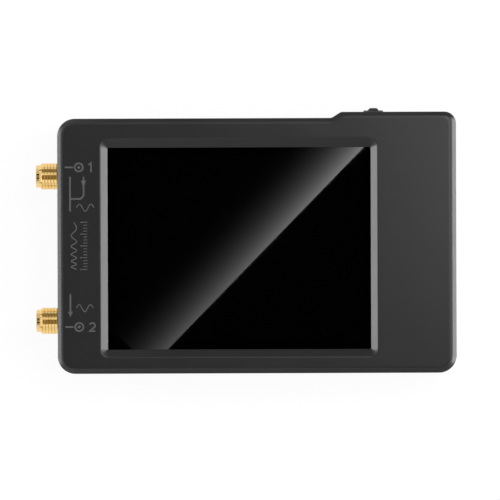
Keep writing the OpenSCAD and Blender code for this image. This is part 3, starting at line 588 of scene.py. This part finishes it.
def facing(place, normal):
    """Matrix whose +Z is the outward normal of a wall at place, and whose +Y is up."""
    z = Vector(normal)
    y = Vector((0, 0, 1))
    x = y.cross(z)
    return Matrix.Translation(place) @ Matrix((x, y, z)).transposed().to_4x4()


def add_jack_holes(bm):
    r = JACK_R + JACK_GAP
    chamfer = 0.15
    for y in JACK_YS:
        profile = [(r, -WALL - CUT_PAST), (r, -chamfer), (r + 2 * chamfer, chamfer)]
        turned(bm, profile, 64, facing((-HALF_L, y, JACK_Z), (-1, 0, 0)))


def make_front_cover():
    bm = bmesh.new()
    lip_out = WALL - LIP_T - LIP_GAP
    lip_top = SPLIT_Z + LIP_H + LIP_GAP
    wall_rings = [
        (WALL, FRONT_IN_Z),
        (WALL, lip_top),
        (lip_out, lip_top),
        (lip_out, SPLIT_Z),
        (SEAM, SPLIT_Z),
        (SEAM, SPLIT_Z + SEAM),
        (EDGE_BREAK, SPLIT_Z + SEAM),
        (0, SPLIT_Z + SEAM + EDGE_BREAK),
    ]
    walls = [ring(bm, outline(CASE_CORNERS, inset), z) for inset, z in wall_rings]
    walls += [edge_ring(bm, inset, z) for inset, z in edge_fillet(FACE_Z, 1)]
    loft(bm, walls)
    # The bevel's rim is slightly rounded: its share of the bevel's width, and its depth below the face
    rim = [(1.12, 0), (1.07, 0.01), (1.02, 0.035), (0.97, 0.075), (0.92, 0.13)]
    rim = [(share, FACE_Z - depth) for share, depth in rim]
    bevel = [*rim, (0.03, BEVEL_FOOT_Z + 0.03), (0.0, BEVEL_FOOT_Z - 0.02), (0.0, FRONT_IN_Z)]
    opening = [ring(bm, outline(window_corners(t)), z) for t, z in bevel]
    loft(bm, opening)
    fill_between(bm, walls[-1], opening[0])
    fill_between(bm, walls[0], opening[-1])
    cover = new_object("case_front", bm)

    bm = bmesh.new()
    add_posts(bm, SPLIT_Z, FRONT_IN_Z + SUNK)
    add_ribs(bm, BOARD_TOP, FRONT_IN_Z + SUNK)
    combine(cover, bm, "UNION")

    bm = bmesh.new()
    lip = outline(CASE_CORNERS, lip_out)
    lip_in = outline(CASE_CORNERS, WALL + LIP_GAP)
    low, high = BOARD_TOP - 0.05, lip_top
    rings = [ring(bm, lip, low), ring(bm, lip, high), ring(bm, lip_in, high), ring(bm, lip_in, low)]
    loft(bm, rings, closed=True)
    combine(cover, bm, "DIFFERENCE")

    bm = bmesh.new()
    add_jack_holes(bm)
    pilot_r = SCREW_R + THREAD_GAP
    profile = [(pilot_r, SPLIT_Z - CUT_PAST), (pilot_r, SEAT_D + SCREW_L + PILOT_END)]
    for x, y in POSTS:
        turned(bm, profile, 32, Matrix.Translation((x, y, 0)))
    combine(cover, bm, "DIFFERENCE")
    finish_piece(cover, CASE, replaces=["front_cover"])


def make_rear_cover():
    bm = bmesh.new()
    lip_top = SPLIT_Z + LIP_H
    chamfer = 0.15
    wall_rings = [
        (WALL, FLOOR_T),
        (WALL, lip_top),
        (WALL - LIP_T + chamfer, lip_top),
        (WALL - LIP_T, lip_top - chamfer),
        (WALL - LIP_T, SPLIT_Z),
        (EDGE_BREAK, SPLIT_Z),
        (0, SPLIT_Z - EDGE_BREAK),
        *edge_fillet(0, -1),
    ]
    walls = [ring(bm, outline(CASE_CORNERS, inset), z) for inset, z in wall_rings]
    loft(bm, walls)
    bm.faces.new(walls[0])
    bm.faces.new(list(reversed(walls[-1])))
    cover = new_object("case_rear", bm)

    bm = bmesh.new()
    add_posts(bm, FLOOR_T - SUNK, SPLIT_Z)
    add_ribs(bm, FLOOR_T - SUNK, BOARD_Z)
    cell_low, cell_high, _ = box_mm("battery_cell")
    gap, fence_t, fence_h = 0.3, 1.0, 1.5
    fence = rect(cell_low.x - gap, cell_low.y - gap, cell_high.x + gap, cell_high.y + gap, 0)
    z0, z1 = FLOOR_T - SUNK, FLOOR_T + fence_h
    rings = [
        ring(bm, outline(fence, inset, 0), z)
        for inset, z in ((-fence_t, z0), (-fence_t, z1), (0, z1), (0, z0))
    ]
    loft(bm, rings, closed=True)
    combine(cover, bm, "UNION")

    bm = bmesh.new()
    add_jack_holes(bm)
    seat_r, shaft_r, mouth = HEAD_R + SCREW_GAP, SCREW_R + SCREW_GAP, 0.12
    profile = [
        (seat_r + 2 * mouth, -mouth),
        (seat_r, mouth),
        (seat_r, SEAT_D),
        (shaft_r, SEAT_D),
        (shaft_r, SPLIT_Z + CUT_PAST),
    ]
    for x, y in POSTS:
        turned(bm, profile, matrix=Matrix.Translation((x, y, 0)))
    depth = WALL + CUT_PAST
    usb_gap = 0.25
    usb_low, usb_high, usb = box_mm("usb_shell")
    usb_w, usb_h = usb_high.y - usb_low.y + 2 * usb_gap, usb_high.z - usb_low.z + 2 * usb_gap
    slot_cutter(bm, usb_w, usb_h, depth, 0.2, usb_h / 2 - 0.01, facing((HALF_L, usb.y, usb.z), (1, 0, 0)))
    jog_low, jog_high, jog = box_mm("jog_lever")
    jog_l, jog_h = 7.1, jog_high.z - jog_low.z + 0.4
    slot_cutter(bm, jog_l, jog_h, depth, 0.12, 0.4, facing((jog.x, STEP_Y, jog.z), (0, 1, 0)))
    power_l, power_h, power_r = 4.2, 1.7, 0.84
    power = box_mm("power_switch_body")[2]
    slot_cutter(bm, power_l, power_h, depth, 0.12, power_r, facing((power.x, STEP_Y, power.z), (0, 1, 0)))
    combine(cover, bm, "DIFFERENCE")
    finish_piece(cover, CASE, replaces=["rear_cover"])


make_front_cover()
make_rear_cover()

# ---- Screws ----


def threaded_tube(bm, z0, z1, root, depth, pitch, around, fades, groove=0.4):
    """Open tube about +Z with a true helical ridge. Returns its end rings.

    fades are the lengths over which the ridge grows out of the two ends, and groove is the share of the
    pitch that its groove takes.
    """
    profile = ((0.0, 0.0), (groove * 0.2, 0.0), (groove * 0.6, 1.0), (1 - groove * 0.4, 1.0), (1.0, 0.0))
    turns = range(-1, math.ceil((z1 - z0) / pitch) + 1)
    rows = [turn + share for turn in turns for share, height in profile[:-1]]

    def height_at(turn):
        share = turn % 1
        for (a, low), (b, high) in zip(profile, profile[1:]):
            if share <= b:
                return low + (high - low) * (share - a) / (b - a)
        return 0.0

    columns = []
    for i in range(around):
        angle = 2 * math.pi * i / around
        column = []
        for row in rows:
            turn = row + i / around
            z = min(max(z0 + turn * pitch, z0), z1)
            height = height_at(round((z - z0) / pitch - i / around, 6))
            for fade, away in zip(fades, (z - z0, z1 - z)):
                height *= min(1.0, away / fade) if fade else 1.0
            r = root + depth * height
            column.append(bm.verts.new((r * math.cos(angle), r * math.sin(angle), z)))
        columns.append(column)
    for i in range(around):
        a = columns[i]
        b = columns[i + 1] if i + 1 < around else columns[0][len(profile) - 1 :]
        for j in range(min(len(a), len(b)) - 1):
            bm.faces.new((a[j], b[j], b[j + 1], a[j + 1]))
    verts = [v for column in columns for v in column]
    bmesh.ops.remove_doubles(bm, verts=verts, dist=1e-4)
    loose = [v for v in bm.verts if v.is_valid and not v.link_faces]
    bmesh.ops.delete(bm, geom=loose, context="VERTS")
    ends = []
    for z in (z0, z1):
        end = [v for v in bm.verts if abs(v.co.z - z) < 1e-5]
        ends.append(sorted(end, key=lambda v: math.atan2(v.co.y, v.co.x) % (2 * math.pi)))
    return ends


def make_screws():
    around = 32
    for i, (sx, sy) in enumerate(((-1, -1), (1, -1), (1, 1), (-1, 1))):
        bm = bmesh.new()
        root, thread_d, pitch = 0.78, 0.2, 0.8
        plain_l, point_l, fade = 1.0, 0.6, 0.6
        start, tip = SEAT_D + plain_l, SEAT_D + SCREW_L
        low, high = threaded_tube(bm, start, tip - point_l, root, thread_d, pitch, around, (fade, fade))
        below = [
            (HEAD_R - 0.3, SEAT_D - HEAD_H),
            (HEAD_R - 0.08, SEAT_D - HEAD_H + 0.12),
            (HEAD_R, SEAT_D - HEAD_H + 0.35),
            (HEAD_R, SEAT_D - 0.05),
            (HEAD_R - 0.05, SEAT_D),
            (SCREW_R, SEAT_D),
            (SCREW_R, SEAT_D + 0.7),
        ]
        rings = [ring(bm, circle(r, around), z) for r, z in below]
        point = [ring(bm, circle(r, around), z) for r, z in ((root * 0.6, tip - 0.1), (root * 0.4, tip))]
        loft(bm, [*rings, low])
        loft(bm, [high, *point])
        cap(bm, rings[0], point[-1])
        screw = new_object(f"case_screw_{i + 1}", bm)
        bm = bmesh.new()
        cross_l, cross_w, cross_d = HEAD_R / 2, 0.35, 0.7
        z0 = SEAT_D - HEAD_H
        arms = []
        for quarter in range(4):
            for x, y in ((cross_w / 2, cross_w / 2), (cross_l, cross_w / 2), (cross_l, -cross_w / 2)):
                arms.append(Vector((x, y)) @ Matrix.Rotation(-math.pi / 2 * quarter, 2))
        arms.sort(key=lambda p: math.atan2(p.y, p.x))
        sizes = ((1.06, z0 - 0.1), (1.0, z0), (0.62, z0 + cross_d))
        capped_loft(bm, [ring(bm, [p * s for p in arms], z) for s, z in sizes])
        combine(screw, bm, "DIFFERENCE")
        screw.data.transform(Matrix.Rotation(0.5 + 0.9 * i, 4, "Z"))
        screw.data.transform(Matrix.Translation((sx * POST_X, sy * POST_Y, 0)))
        finish_piece(screw, STEEL, replaces=["case_screws"])


make_screws()

# ---- Jacks ----


def make_jack_shell(index):
    """Flange, threaded barrel, smooth end and open mouth, with prongs that grip the board."""
    around = 72
    board_x0 = box_mm("main_board")[0].x
    barrel_l = board_x0 - box_mm(f"sma{index + 1}_shell")[0].x
    flange_w, flange_t = 6.35, 1.6
    thread_pitch, thread_d, root = 0.7056, 0.1, 3.0
    thread_start, thread_end = 3.5, 7.78
    shoulder_r, neck_r, neck_z, tip_r = 2.93, 2.65, 8.27, 2.6
    mouth_r, mouth_z, bore_r = 2.31, barrel_l - 1.95, 2.05
    bm = bmesh.new()
    fades, groove = (0.35, 0), 0.24
    ends = (thread_start, thread_end)
    start, end = threaded_tube(bm, *ends, root, thread_d, thread_pitch, around, fades, groove)

    def square(half, z):
        reach = [(x, y, max(abs(x), abs(y))) for x, y in circle(1, around)]
        return ring(bm, [(x * half / r, y * half / r) for x, y, r in reach], z)

    def round_ring(r, z):
        return ring(bm, circle(r, around), z)

    half, edge = flange_w / 2, 0.12
    rings = [
        start,
        round_ring(root, flange_t),
        square(half - edge, flange_t),
        square(half, flange_t - edge),
        square(half, edge),
        square(half - edge, 0),
        round_ring(bore_r, 0),
        round_ring(bore_r, mouth_z),
        round_ring(mouth_r, mouth_z),
        round_ring(mouth_r, barrel_l - 0.1),
        round_ring(mouth_r + 0.08, barrel_l),
        round_ring(tip_r - 0.14, barrel_l),
        round_ring(tip_r - 0.04, barrel_l - 0.05),
        round_ring(tip_r, barrel_l - 0.14),
        round_ring(neck_r, neck_z + 0.03),
        round_ring(neck_r + 0.01, neck_z),
        round_ring(neck_r + 0.03, neck_z - 0.03),
        round_ring(shoulder_r, thread_end + 0.02),
        end,
    ]
    loft(bm, rings)
    shell = new_object(f"jack_shell_{index + 1}", bm)
    prongs = bmesh.new()
    prong_l, prong_t = 3.2, 1.0
    for side in (-1, 1):
        for z0 in (BOARD_TOP, BOARD_Z - prong_t):
            y0 = side * (flange_w - prong_t) / 2 - prong_t / 2
            z0 -= JACK_Z
            block(prongs, (z0, y0, -prong_l), (z0 + prong_t, y0 + prong_t, 0.3), 0, 0.1)
    combine(shell, prongs, "UNION")
    turn = Matrix.Rotation(-math.pi / 2, 4, "Y")
    shell.data.transform(Matrix.Translation((board_x0, JACK_YS[index], JACK_Z)) @ turn)
    finish_piece(shell, GOLD, replaces=[f"sma{index + 1}_shell"])


for jack in (0, 1):
    make_jack_shell(jack)

# ---- Jog lever, power switch knob and the pads of the USB socket ----


def make_jog_lever():
    low, high, middle = box_mm("jog_lever")
    pivot = Vector((middle.x, low.y + 1.1, middle.z))
    wing_w, wing_in, wing_out, wing_corner = 4.7, 5.9, 7.12, 0.3
    wing_h = high.z - low.z
    cap_w, cap_tip_w, cap_h, cap_in, cap_corner = 2.6, 1.9, 1.2, 6.5, 0.2
    stem_w, stem_h, hub_r, hole_r = 1.6, 1.0, 1.1, 0.5
    tip = high.y - pivot.y
    bm = bmesh.new()
    sides = rect(-wing_w / 2, wing_in, wing_w / 2, wing_out, wing_corner)
    # The wing's outer face bulges between its two ends
    bulge = ((0.5, 0.3), (0.42, 0.16), (0.3, 0.06), (0.14, 0.0))
    layers = [(sides, inset, -share * wing_h) for share, inset in bulge]
    layers += [(sides, inset, share * wing_h) for share, inset in reversed(bulge)]
    solid(bm, layers, 6)
    lever = new_object("jog_knob", bm)
    bm = bmesh.new()
    block(bm, (-stem_w / 2, 0, -stem_h / 2), (stem_w / 2, (wing_in + wing_out) / 2, stem_h / 2))
    combine(lever, bm, "UNION")
    bm = bmesh.new()
    shoulder = wing_out - 0.05
    points = [
        (-cap_w / 2, cap_in),
        (cap_w / 2, cap_in),
        (cap_w / 2, shoulder),
        (cap_tip_w / 2 + cap_corner / 3, tip - cap_corner),
        (cap_tip_w / 2 - cap_corner, tip),
        (-cap_tip_w / 2 + cap_corner, tip),
        (-cap_tip_w / 2 - cap_corner / 3, tip - cap_corner),
        (-cap_w / 2, shoulder),
    ]
    prism(bm, points, -cap_h / 2, cap_h / 2)
    combine(lever, bm, "UNION")
    bm = bmesh.new()
    turned(bm, [(hub_r, -stem_h / 2), (hub_r, stem_h / 2)])
    combine(lever, bm, "UNION")
    bm = bmesh.new()
    turned(bm, [(hole_r, -stem_h), (hole_r, stem_h)])
    combine(lever, bm, "DIFFERENCE")
    lever.data.transform(Matrix.Translation(pivot))
    finish_piece(lever, BLACK, "jog_rocker", ["jog_lever"], bevel=0.05)


def make_power_knob():
    low, high, middle = box_mm("power_switch_slider")
    knob_l, knob_h, block_w = 1.4, 1.2, 2.2
    bm = bmesh.new()
    block(bm, (low.x, low.y, low.z), (high.x, low.y + block_w, high.z))
    knob = new_object("power_knob", bm)
    bm = bmesh.new()
    x0, x1 = middle.x - knob_l / 2, middle.x + knob_l / 2
    z0, z1 = middle.z - knob_h / 2, middle.z + knob_h / 2
    block(bm, (x0, low.y + block_w - 0.2, z0), (x1, high.y, z1))
    combine(knob, bm, "UNION")
    bm = bmesh.new()
    for x in (-0.45, -0.15, 0.15, 0.45):  # grip grooves across the tip
        block(
            bm,
            (middle.x + x - 0.06, high.y - 0.14, z0 - 0.1),
            (middle.x + x + 0.06, high.y + 0.1, z1 + 0.1),
        )
    combine(knob, bm, "DIFFERENCE")
    finish_piece(knob, BLACK, "power_slider", ["power_switch_slider"], bevel=0.04)


def make_usb_pads():
    _, high, middle = box_mm("usb_tongue")
    tongue_t, pad_t, pad_w, pitch, pads = 0.7, 0.03, 0.28, 0.5, 12
    end_x = high.x - 0.5
    bm = bmesh.new()
    for i in range(pads):
        y = middle.y + (i - (pads - 1) / 2) * pitch
        length = 4.4 if i in (0, 3, 8, 11) else 3.9
        for side in (-1, 1):
            ends = sorted((side * (tongue_t / 2 - pad_t), side * (tongue_t / 2 + pad_t)))
            block(
                bm,
                (end_x - length, y - pad_w / 2, middle.z + ends[0]),
                (end_x, y + pad_w / 2, middle.z + ends[1]),
                0.05,
            )
    finish_piece(new_object("usb_pads", bm), GOLD)


make_jog_lever()
make_power_knob()
make_usb_pads()

# ---- Printed legend: plain marks, lines and numbers on the front face ----

STROKE = 0.4
THIN_STROKE = 0.24


def stroke(bm, points, width=STROKE, closed=False):
    """Line of ink with mitred corners along points."""
    points = [Vector(p) for p in points]
    n = len(points)
    left, right = [], []
    for i, p in enumerate(points):
        before = points[i - 1] if closed or i else None
        after = points[(i + 1) % n] if closed or i < n - 1 else None
        a = (p - before).normalized() if before is not None else (after - p).normalized()
        b = (after - p).normalized() if after is not None else a
        side = Vector((-(a.y + b.y), a.x + b.x)).normalized()
        reach = width / 2 / max(0.5, side.dot(Vector((-a.y, a.x))))
        left.append(p + side * reach)
        right.append(p - side * reach)
    sides = [(left, FACE_Z), (left, CASE_H), (right, CASE_H), (right, FACE_Z)]
    rows = [ring(bm, line, z) for line, z in sides]
    count = n if closed else n - 1
    for a, b in zip(rows, rows[1:] + rows[:1]):
        for i in range(count):
            j = (i + 1) % n
            bm.faces.new((a[i], a[j], b[j], b[i]))
    if not closed:
        bm.faces.new([row[0] for row in rows])
        bm.faces.new([row[-1] for row in reversed(rows)])


def plate(bm, points):
    """Filled area of ink."""
    prism(bm, points, FACE_Z, CASE_H)


def arrow(bm, x, tail_y, tip_y):
    head_l, head_w = 1.15, 0.62
    base_y = tip_y + math.copysign(head_l, tail_y - tip_y)
    stroke(bm, [(x, tail_y), (x, base_y)])
    plate(bm, [(x - head_w, base_y), (x, tip_y), (x + head_w, base_y)])


def socket_mark(bm, x, y, height):
    """Line into a ring with a dot: a coaxial socket."""
    r, line_l, dot_r = height / 2, 1.9, 0.36
    stroke(bm, [(x, y), (x + line_l, y)])
    centre = x + line_l + STROKE / 2 + r
    middle_r = r - STROKE / 2
    stroke(bm, [(centre + middle_r * c, y + middle_r * s) for c, s in circle(1, 28)], closed=True)
    plate(bm, [(centre + dot_r * c, y + dot_r * s) for c, s in circle(1, 14)])


def digit_one(bm, x, y, height):
    stroke(bm, [(x - 0.55, y + height * 0.24), (x, y + height / 2 - 0.12), (x, y - height / 2)])


def digit_two(bm, x, y, height):
    r = height * 0.27
    top = y + height / 2 - r - STROKE / 2
    bowl = [
        (x + r * math.cos(a), top + r * math.sin(a))
        for a in (math.radians(165 - 215 * k / 10) for k in range(11))
    ]
    foot = y - height / 2 + STROKE / 2
    stroke(bm, [*bowl, (x - r * 0.95, foot), (x + r * 1.1, foot)])


def sine_mark(bm, x0, x1, y, height):
    periods, steps = 1.5, 36
    points = []
    for k in range(steps + 1):
        rise = (height - THIN_STROKE) / 2 * math.sin(2 * math.pi * periods * k / steps)
        points.append((x0 + (x1 - x0) * k / steps, y + rise))
    stroke(bm, points, THIN_STROKE)


def sweep_mark(bm, x, width, y0, y1):
    """Wave along Y whose period shortens from y0 to y1: a frequency sweep."""
    steps = 110
    points = []
    for k in range(steps + 1):
        t = k / steps
        phase = 2 * math.pi * (1.6 * t + 3.6 * t * t)
        points.append((x + (width - THIN_STROKE) / 2 * math.sin(phase), y0 + (y1 - y0) * t))
    stroke(bm, points, THIN_STROKE)


def scale_mark(bm, x0, x1, y0, y1):
    """Plain scale: ticks of two lengths."""
    divisions = 16
    for k in range(divisions + 1):
        y = y0 + (y1 - y0) * k / divisions
        length = 1.0 if k % 4 == 0 else 0.55
        stroke(bm, [(x1 - (x1 - x0) * length, y), (x1, y)], THIN_STROKE * 0.8)


def branch_mark(bm, line_x, branch_x, foot_y):
    """Arrow that leaves a line at foot_y, turns a corner and goes up to the line's end."""
    corner, base_y, tip_y, end_y = 0.7, 14.1, 15.3, 16.2
    base_w, tip_w = 0.14, 0.6
    bend = [(branch_x - corner, foot_y), (branch_x, foot_y + corner)]
    stroke(bm, [(line_x + STROKE / 2, foot_y), *bend, (branch_x, base_y)])
    base = [(branch_x - base_w, base_y), (branch_x + base_w, base_y)]
    plate(bm, [*base, (branch_x + tip_w, tip_y), (branch_x - tip_w, tip_y)])
    stroke(bm, [(branch_x, tip_y), (branch_x, end_y)])


def make_legend():
    bm = bmesh.new()
    socket_x, line_x, branch_x = -44.7, -43.5, -40.35
    one_y, two_y, digit_h, sine_h = 18.4, -18.8, 2.3, 1.9
    scale_top, scale_foot = 5.6, -5.4
    socket_mark(bm, socket_x, one_y, digit_h)
    digit_one(bm, -38.6, one_y, digit_h)
    stroke(bm, [(line_x, 16.2), (line_x, 8.1)])
    branch_mark(bm, line_x, branch_x, 11.05)
    sine_mark(bm, -42.0, -37.95, 9.0, sine_h)
    sweep_mark(bm, -42.65, 1.5, scale_top, scale_foot)
    scale_mark(bm, -41.2, -39.5, scale_top, scale_foot)
    arrow(bm, line_x, -11.1, -16.4)
    sine_mark(bm, -42.1, -38.2, -14.4, sine_h)
    socket_mark(bm, socket_x, two_y, digit_h)
    digit_two(bm, -38.4, two_y, digit_h)
    finish_piece(new_object("legend_ink", bm), INK)


make_legend()

# ---- Floor, light and camera ----

CAMERA_MM = Vector((-1.61, -0.99, 1516.0))
CAMERA_ROLL = math.radians(-0.194)
PIXELS_PER_MM = 4.2886
SENSOR_MM = 36.0
PHOTO_PIXELS = 500


def level_corners(z, xs, ys):
    """Corners of a level rectangle at the height z."""
    return [(xs[0], ys[0], z), (xs[1], ys[0], z), (xs[1], ys[1], z), (xs[0], ys[1], z)]


def stage_piece(name, corners, material):
    """Flat face of the studio, which is no part of the object."""
    bm = bmesh.new()
    bm.faces.new([bm.verts.new(c) for c in corners])
    made = new_object(name, bm)
    made.data.transform(Matrix.Scale(MM, 4))
    made.data.materials.append(material)
    return made


def seen_directly(tree):
    """1 for rays from the camera, and for those that polished or clear surfaces send out."""
    path = node(tree, "LightPath").outputs
    both = maths(tree, "MAXIMUM", path["Is Camera Ray"], path["Is Glossy Ray"])
    return maths(tree, "MAXIMUM", both, path["Is Transmission Ray"])


def make_floor():
    material = bpy.data.materials.new("floor")
    tree = empty_tree(material)
    share = 0.9  # of its own white, the rest takes the light and the object's shadow
    paint = node(tree, "BsdfDiffuse", {"Color": grey(0.9)})
    white = node(tree, "Emission", {"Color": grey(1), "Strength": 1.04})
    factor = maths(tree, "MULTIPLY", seen_directly(tree), share)
    mixed = node(tree, "MixShader", {0: factor, 1: paint.outputs[0], 2: white.outputs[0]})
    node(tree, "OutputMaterial", {"Surface": mixed.outputs[0]})
    extent = (-4000, 4000)
    stage_piece("floor", level_corners(0, extent, extent), material)


def make_world():
    """White backdrop over an even, dim room."""
    world = bpy.data.worlds.new("room")
    bpy.context.scene.world = world
    tree = empty_tree(world)
    room = node(tree, "Background", {"Color": grey(1), "Strength": 0.3})
    white = node(tree, "Background", {"Color": grey(1), "Strength": 1.0})
    mixed = node(tree, "MixShader", {0: seen_directly(tree), 1: room.outputs[0], 2: white.outputs[0]})
    node(tree, "OutputWorld", {"Surface": mixed.outputs[0]})


def only_reflected(obj):
    """Makes a card of the studio show in gloss alone, where it neither lights nor shades the object."""
    obj.visible_camera = False
    obj.visible_diffuse = False
    obj.visible_transmission = False
    obj.visible_shadow = False


def make_glare_card():
    """Card over the camera, half black and half lit, whose slanting edge the screen mirrors."""
    card_z = 1800.0
    extent = (-1300, 1300)
    glass_z = box_mm("touch_panel")[1].z
    stretch = (card_z - glass_z) / (CAMERA_MM.z - glass_z)
    edge_high, edge_low = Vector((25.24, 23.17)), Vector((-20.72, -23.94))  # on the glass
    along = (edge_low - edge_high).normalized()
    across = Vector((along.y, -along.x))  # towards the lit side
    fade, power = 23.35, 7.3
    peak, along_fade, margin = 4.95, 70.0, 6.0
    length = (edge_low - edge_high).length
    material = bpy.data.materials.new("glare_card")
    tree = empty_tree(material)
    place = node(tree, "TexCoord").outputs["Object"]
    # The point of the glass that mirrors this point of the card to the camera, from the line's upper end
    shift = Vector((CAMERA_MM.x * stretch, CAMERA_MM.y * stretch, 0)) * MM
    on_glass = scaled(tree, vector_maths(tree, "ADD", place, shift), 1 / (MM * (1 + stretch)))
    offset = vector_maths(tree, "SUBTRACT", on_glass, (*edge_high, 0))
    depth = vector_maths(tree, "DOT_PRODUCT", offset, (*across, 0), output="Value")
    run = vector_maths(tree, "DOT_PRODUCT", offset, (*along, 0), output="Value")
    over = maths(tree, "GREATER_THAN", depth, 0.0)
    begun = maths(tree, "GREATER_THAN", run, -margin)
    not_ended = maths(tree, "LESS_THAN", run, length + margin)
    lit = maths(tree, "MULTIPLY", maths(tree, "MULTIPLY", over, begun), not_ended)
    fall = maths(tree, "POWER", spread(tree, depth, 1.0, 0.0, 0.0, fade), power)
    run_fall = maths(tree, "EXPONENT", maths(tree, "MULTIPLY", run, -1 / along_fade))
    light = maths(tree, "MULTIPLY", maths(tree, "MULTIPLY", fall, run_fall), lit)
    glow = node(tree, "Emission", {"Color": grey(1), "Strength": maths(tree, "MULTIPLY", light, peak)})
    node(tree, "OutputMaterial", {"Surface": glow.outputs[0]})
    only_reflected(stage_piece("glare_card", level_corners(card_z, extent, extent), material))


def card(name, corners, radiance, colour=(1, 1, 1)):
    """Evenly lit card that shows in gloss alone."""
    material = bpy.data.materials.new(name)
    tree = empty_tree(material)
    glow = node(tree, "Emission", {"Color": (*colour, 1), "Strength": radiance})
    node(tree, "OutputMaterial", {"Surface": glow.outputs[0]})
    only_reflected(stage_piece(name, corners, material))


def flat_card(name, z, xs, ys, radiance, colour=(1, 1, 1)):
    """Level card at the height z, between two xs and two ys."""
    card(name, level_corners(z, xs, ys), radiance, colour)


def upright_card(name, axis, at, across, zs, radiance, colour=(1, 1, 1)):
    """Upright card at the distance at along the axis (0 for X, 1 for Y), between two heights."""
    corners = []
    for side, z in ((0, zs[0]), (1, zs[0]), (1, zs[1]), (0, zs[1])):
        corners.append((at, across[side], z) if axis == 0 else (across[side], at, z))
    card(name, corners, radiance, colour)


def make_jack_cards():
    """Cards whose mirror images are the bright and dim bands along the two gold barrels."""
    beside = (-130, -46)
    upright_card("jack_card_near", 1, -117, beside, (12, 100), 0.9)
    upright_card("jack_card_far", 1, 117, beside, (12, 57), 0.8)
    beyond = (-420, -50)
    upright_card("jack_card_near_high", 1, -885, beyond, (600, 1500), 1.1)
    upright_card("jack_card_far_high", 1, 885, beyond, (380, 1230), 0.21, (1, 0.93, 0.6))
    overhead_z = 1790
    flat_card("jack_card_bright", overhead_z, (-140, -80), (340, 1250), 1.35)
    flat_card("jack_card_dim", overhead_z, (-145, -80), (-900, 340), 0.33, (1, 0.82, 0.55))
    flat_card("jack_card_tip", overhead_z - 5, (-1290, -600), (-450, 450), 0.3)


def make_side_cards():
    """Bright cards for the ends of the object, and dim ones for its long sides."""
    distance, farther = 900, 905
    ends = (-450, 450)
    low, high = (12, 200), (200, 900)
    upright_card("card_right_low", 0, distance, ends, low, 11.2)
    upright_card("card_right_high", 0, farther, ends, high, 1.4)
    upright_card("card_left_low", 0, -distance, ends, low, 10.0)
    upright_card("card_left_high", 0, -farther, ends, high, 0.8)
    sides = (-1200, 1200)
    upright_card("card_near_low", 1, -distance, sides, (10, 200), 0.2)
    upright_card("card_near_high", 1, -farther, sides, (200, 1800), 0.45)
    upright_card("card_far_low", 1, distance, sides, (10, 300), 0.03)
    upright_card("card_far_high", 1, farther, sides, (300, 1800), 0.65)
    flat_card("card_over_right", 350, (55, 260), (-15, 355), 2.4)


def softbox(name, place, target, size, radiance):
    """Rectangular lamp of size (across, up) mm that faces the target."""
    lamp = bpy.data.lights.new(name, "AREA")
    lamp.shape = "RECTANGLE"
    lamp.size, lamp.size_y = size[0] * MM, size[1] * MM
    lamp.energy = radiance * math.pi * lamp.size * lamp.size_y
    made = bpy.data.objects.new(name, lamp)
    made.location = Vector(place) * MM
    made.rotation_euler = (Vector(target) - Vector(place)).to_track_quat("-Z", "Y").to_euler()
    made.visible_glossy = False
    bpy.context.scene.collection.objects.link(made)


def make_camera():
    lens = bpy.data.cameras.new("camera")
    camera = bpy.data.objects.new("camera", lens)
    bpy.context.scene.collection.objects.link(camera)
    camera.location = CAMERA_MM * MM
    camera.rotation_euler = (0, 0, CAMERA_ROLL)
    widest_z = 15.9  # where the case is widest, seen from above
    lens.sensor_width = SENSOR_MM
    lens.lens = SENSOR_MM * (CAMERA_MM.z - widest_z) * PIXELS_PER_MM / PHOTO_PIXELS
    lens.clip_start, lens.clip_end = 0.1, 20
    bpy.context.scene.camera = camera


make_floor()
make_world()
make_glare_card()
make_jack_cards()
make_side_cards()
case_middle = (0, 0, 10)
softbox("softbox_left", (-900, 0, 500), case_middle, (900, 500), 1.9)
softbox("softbox_right", (900, 0, 500), case_middle, (900, 500), 3.5)
softbox("softbox_top", (300, 300, 900), (10, 10, 16), (500, 500), 4.0)
make_camera()
bpy.context.scene.view_settings.view_transform = "Standard"
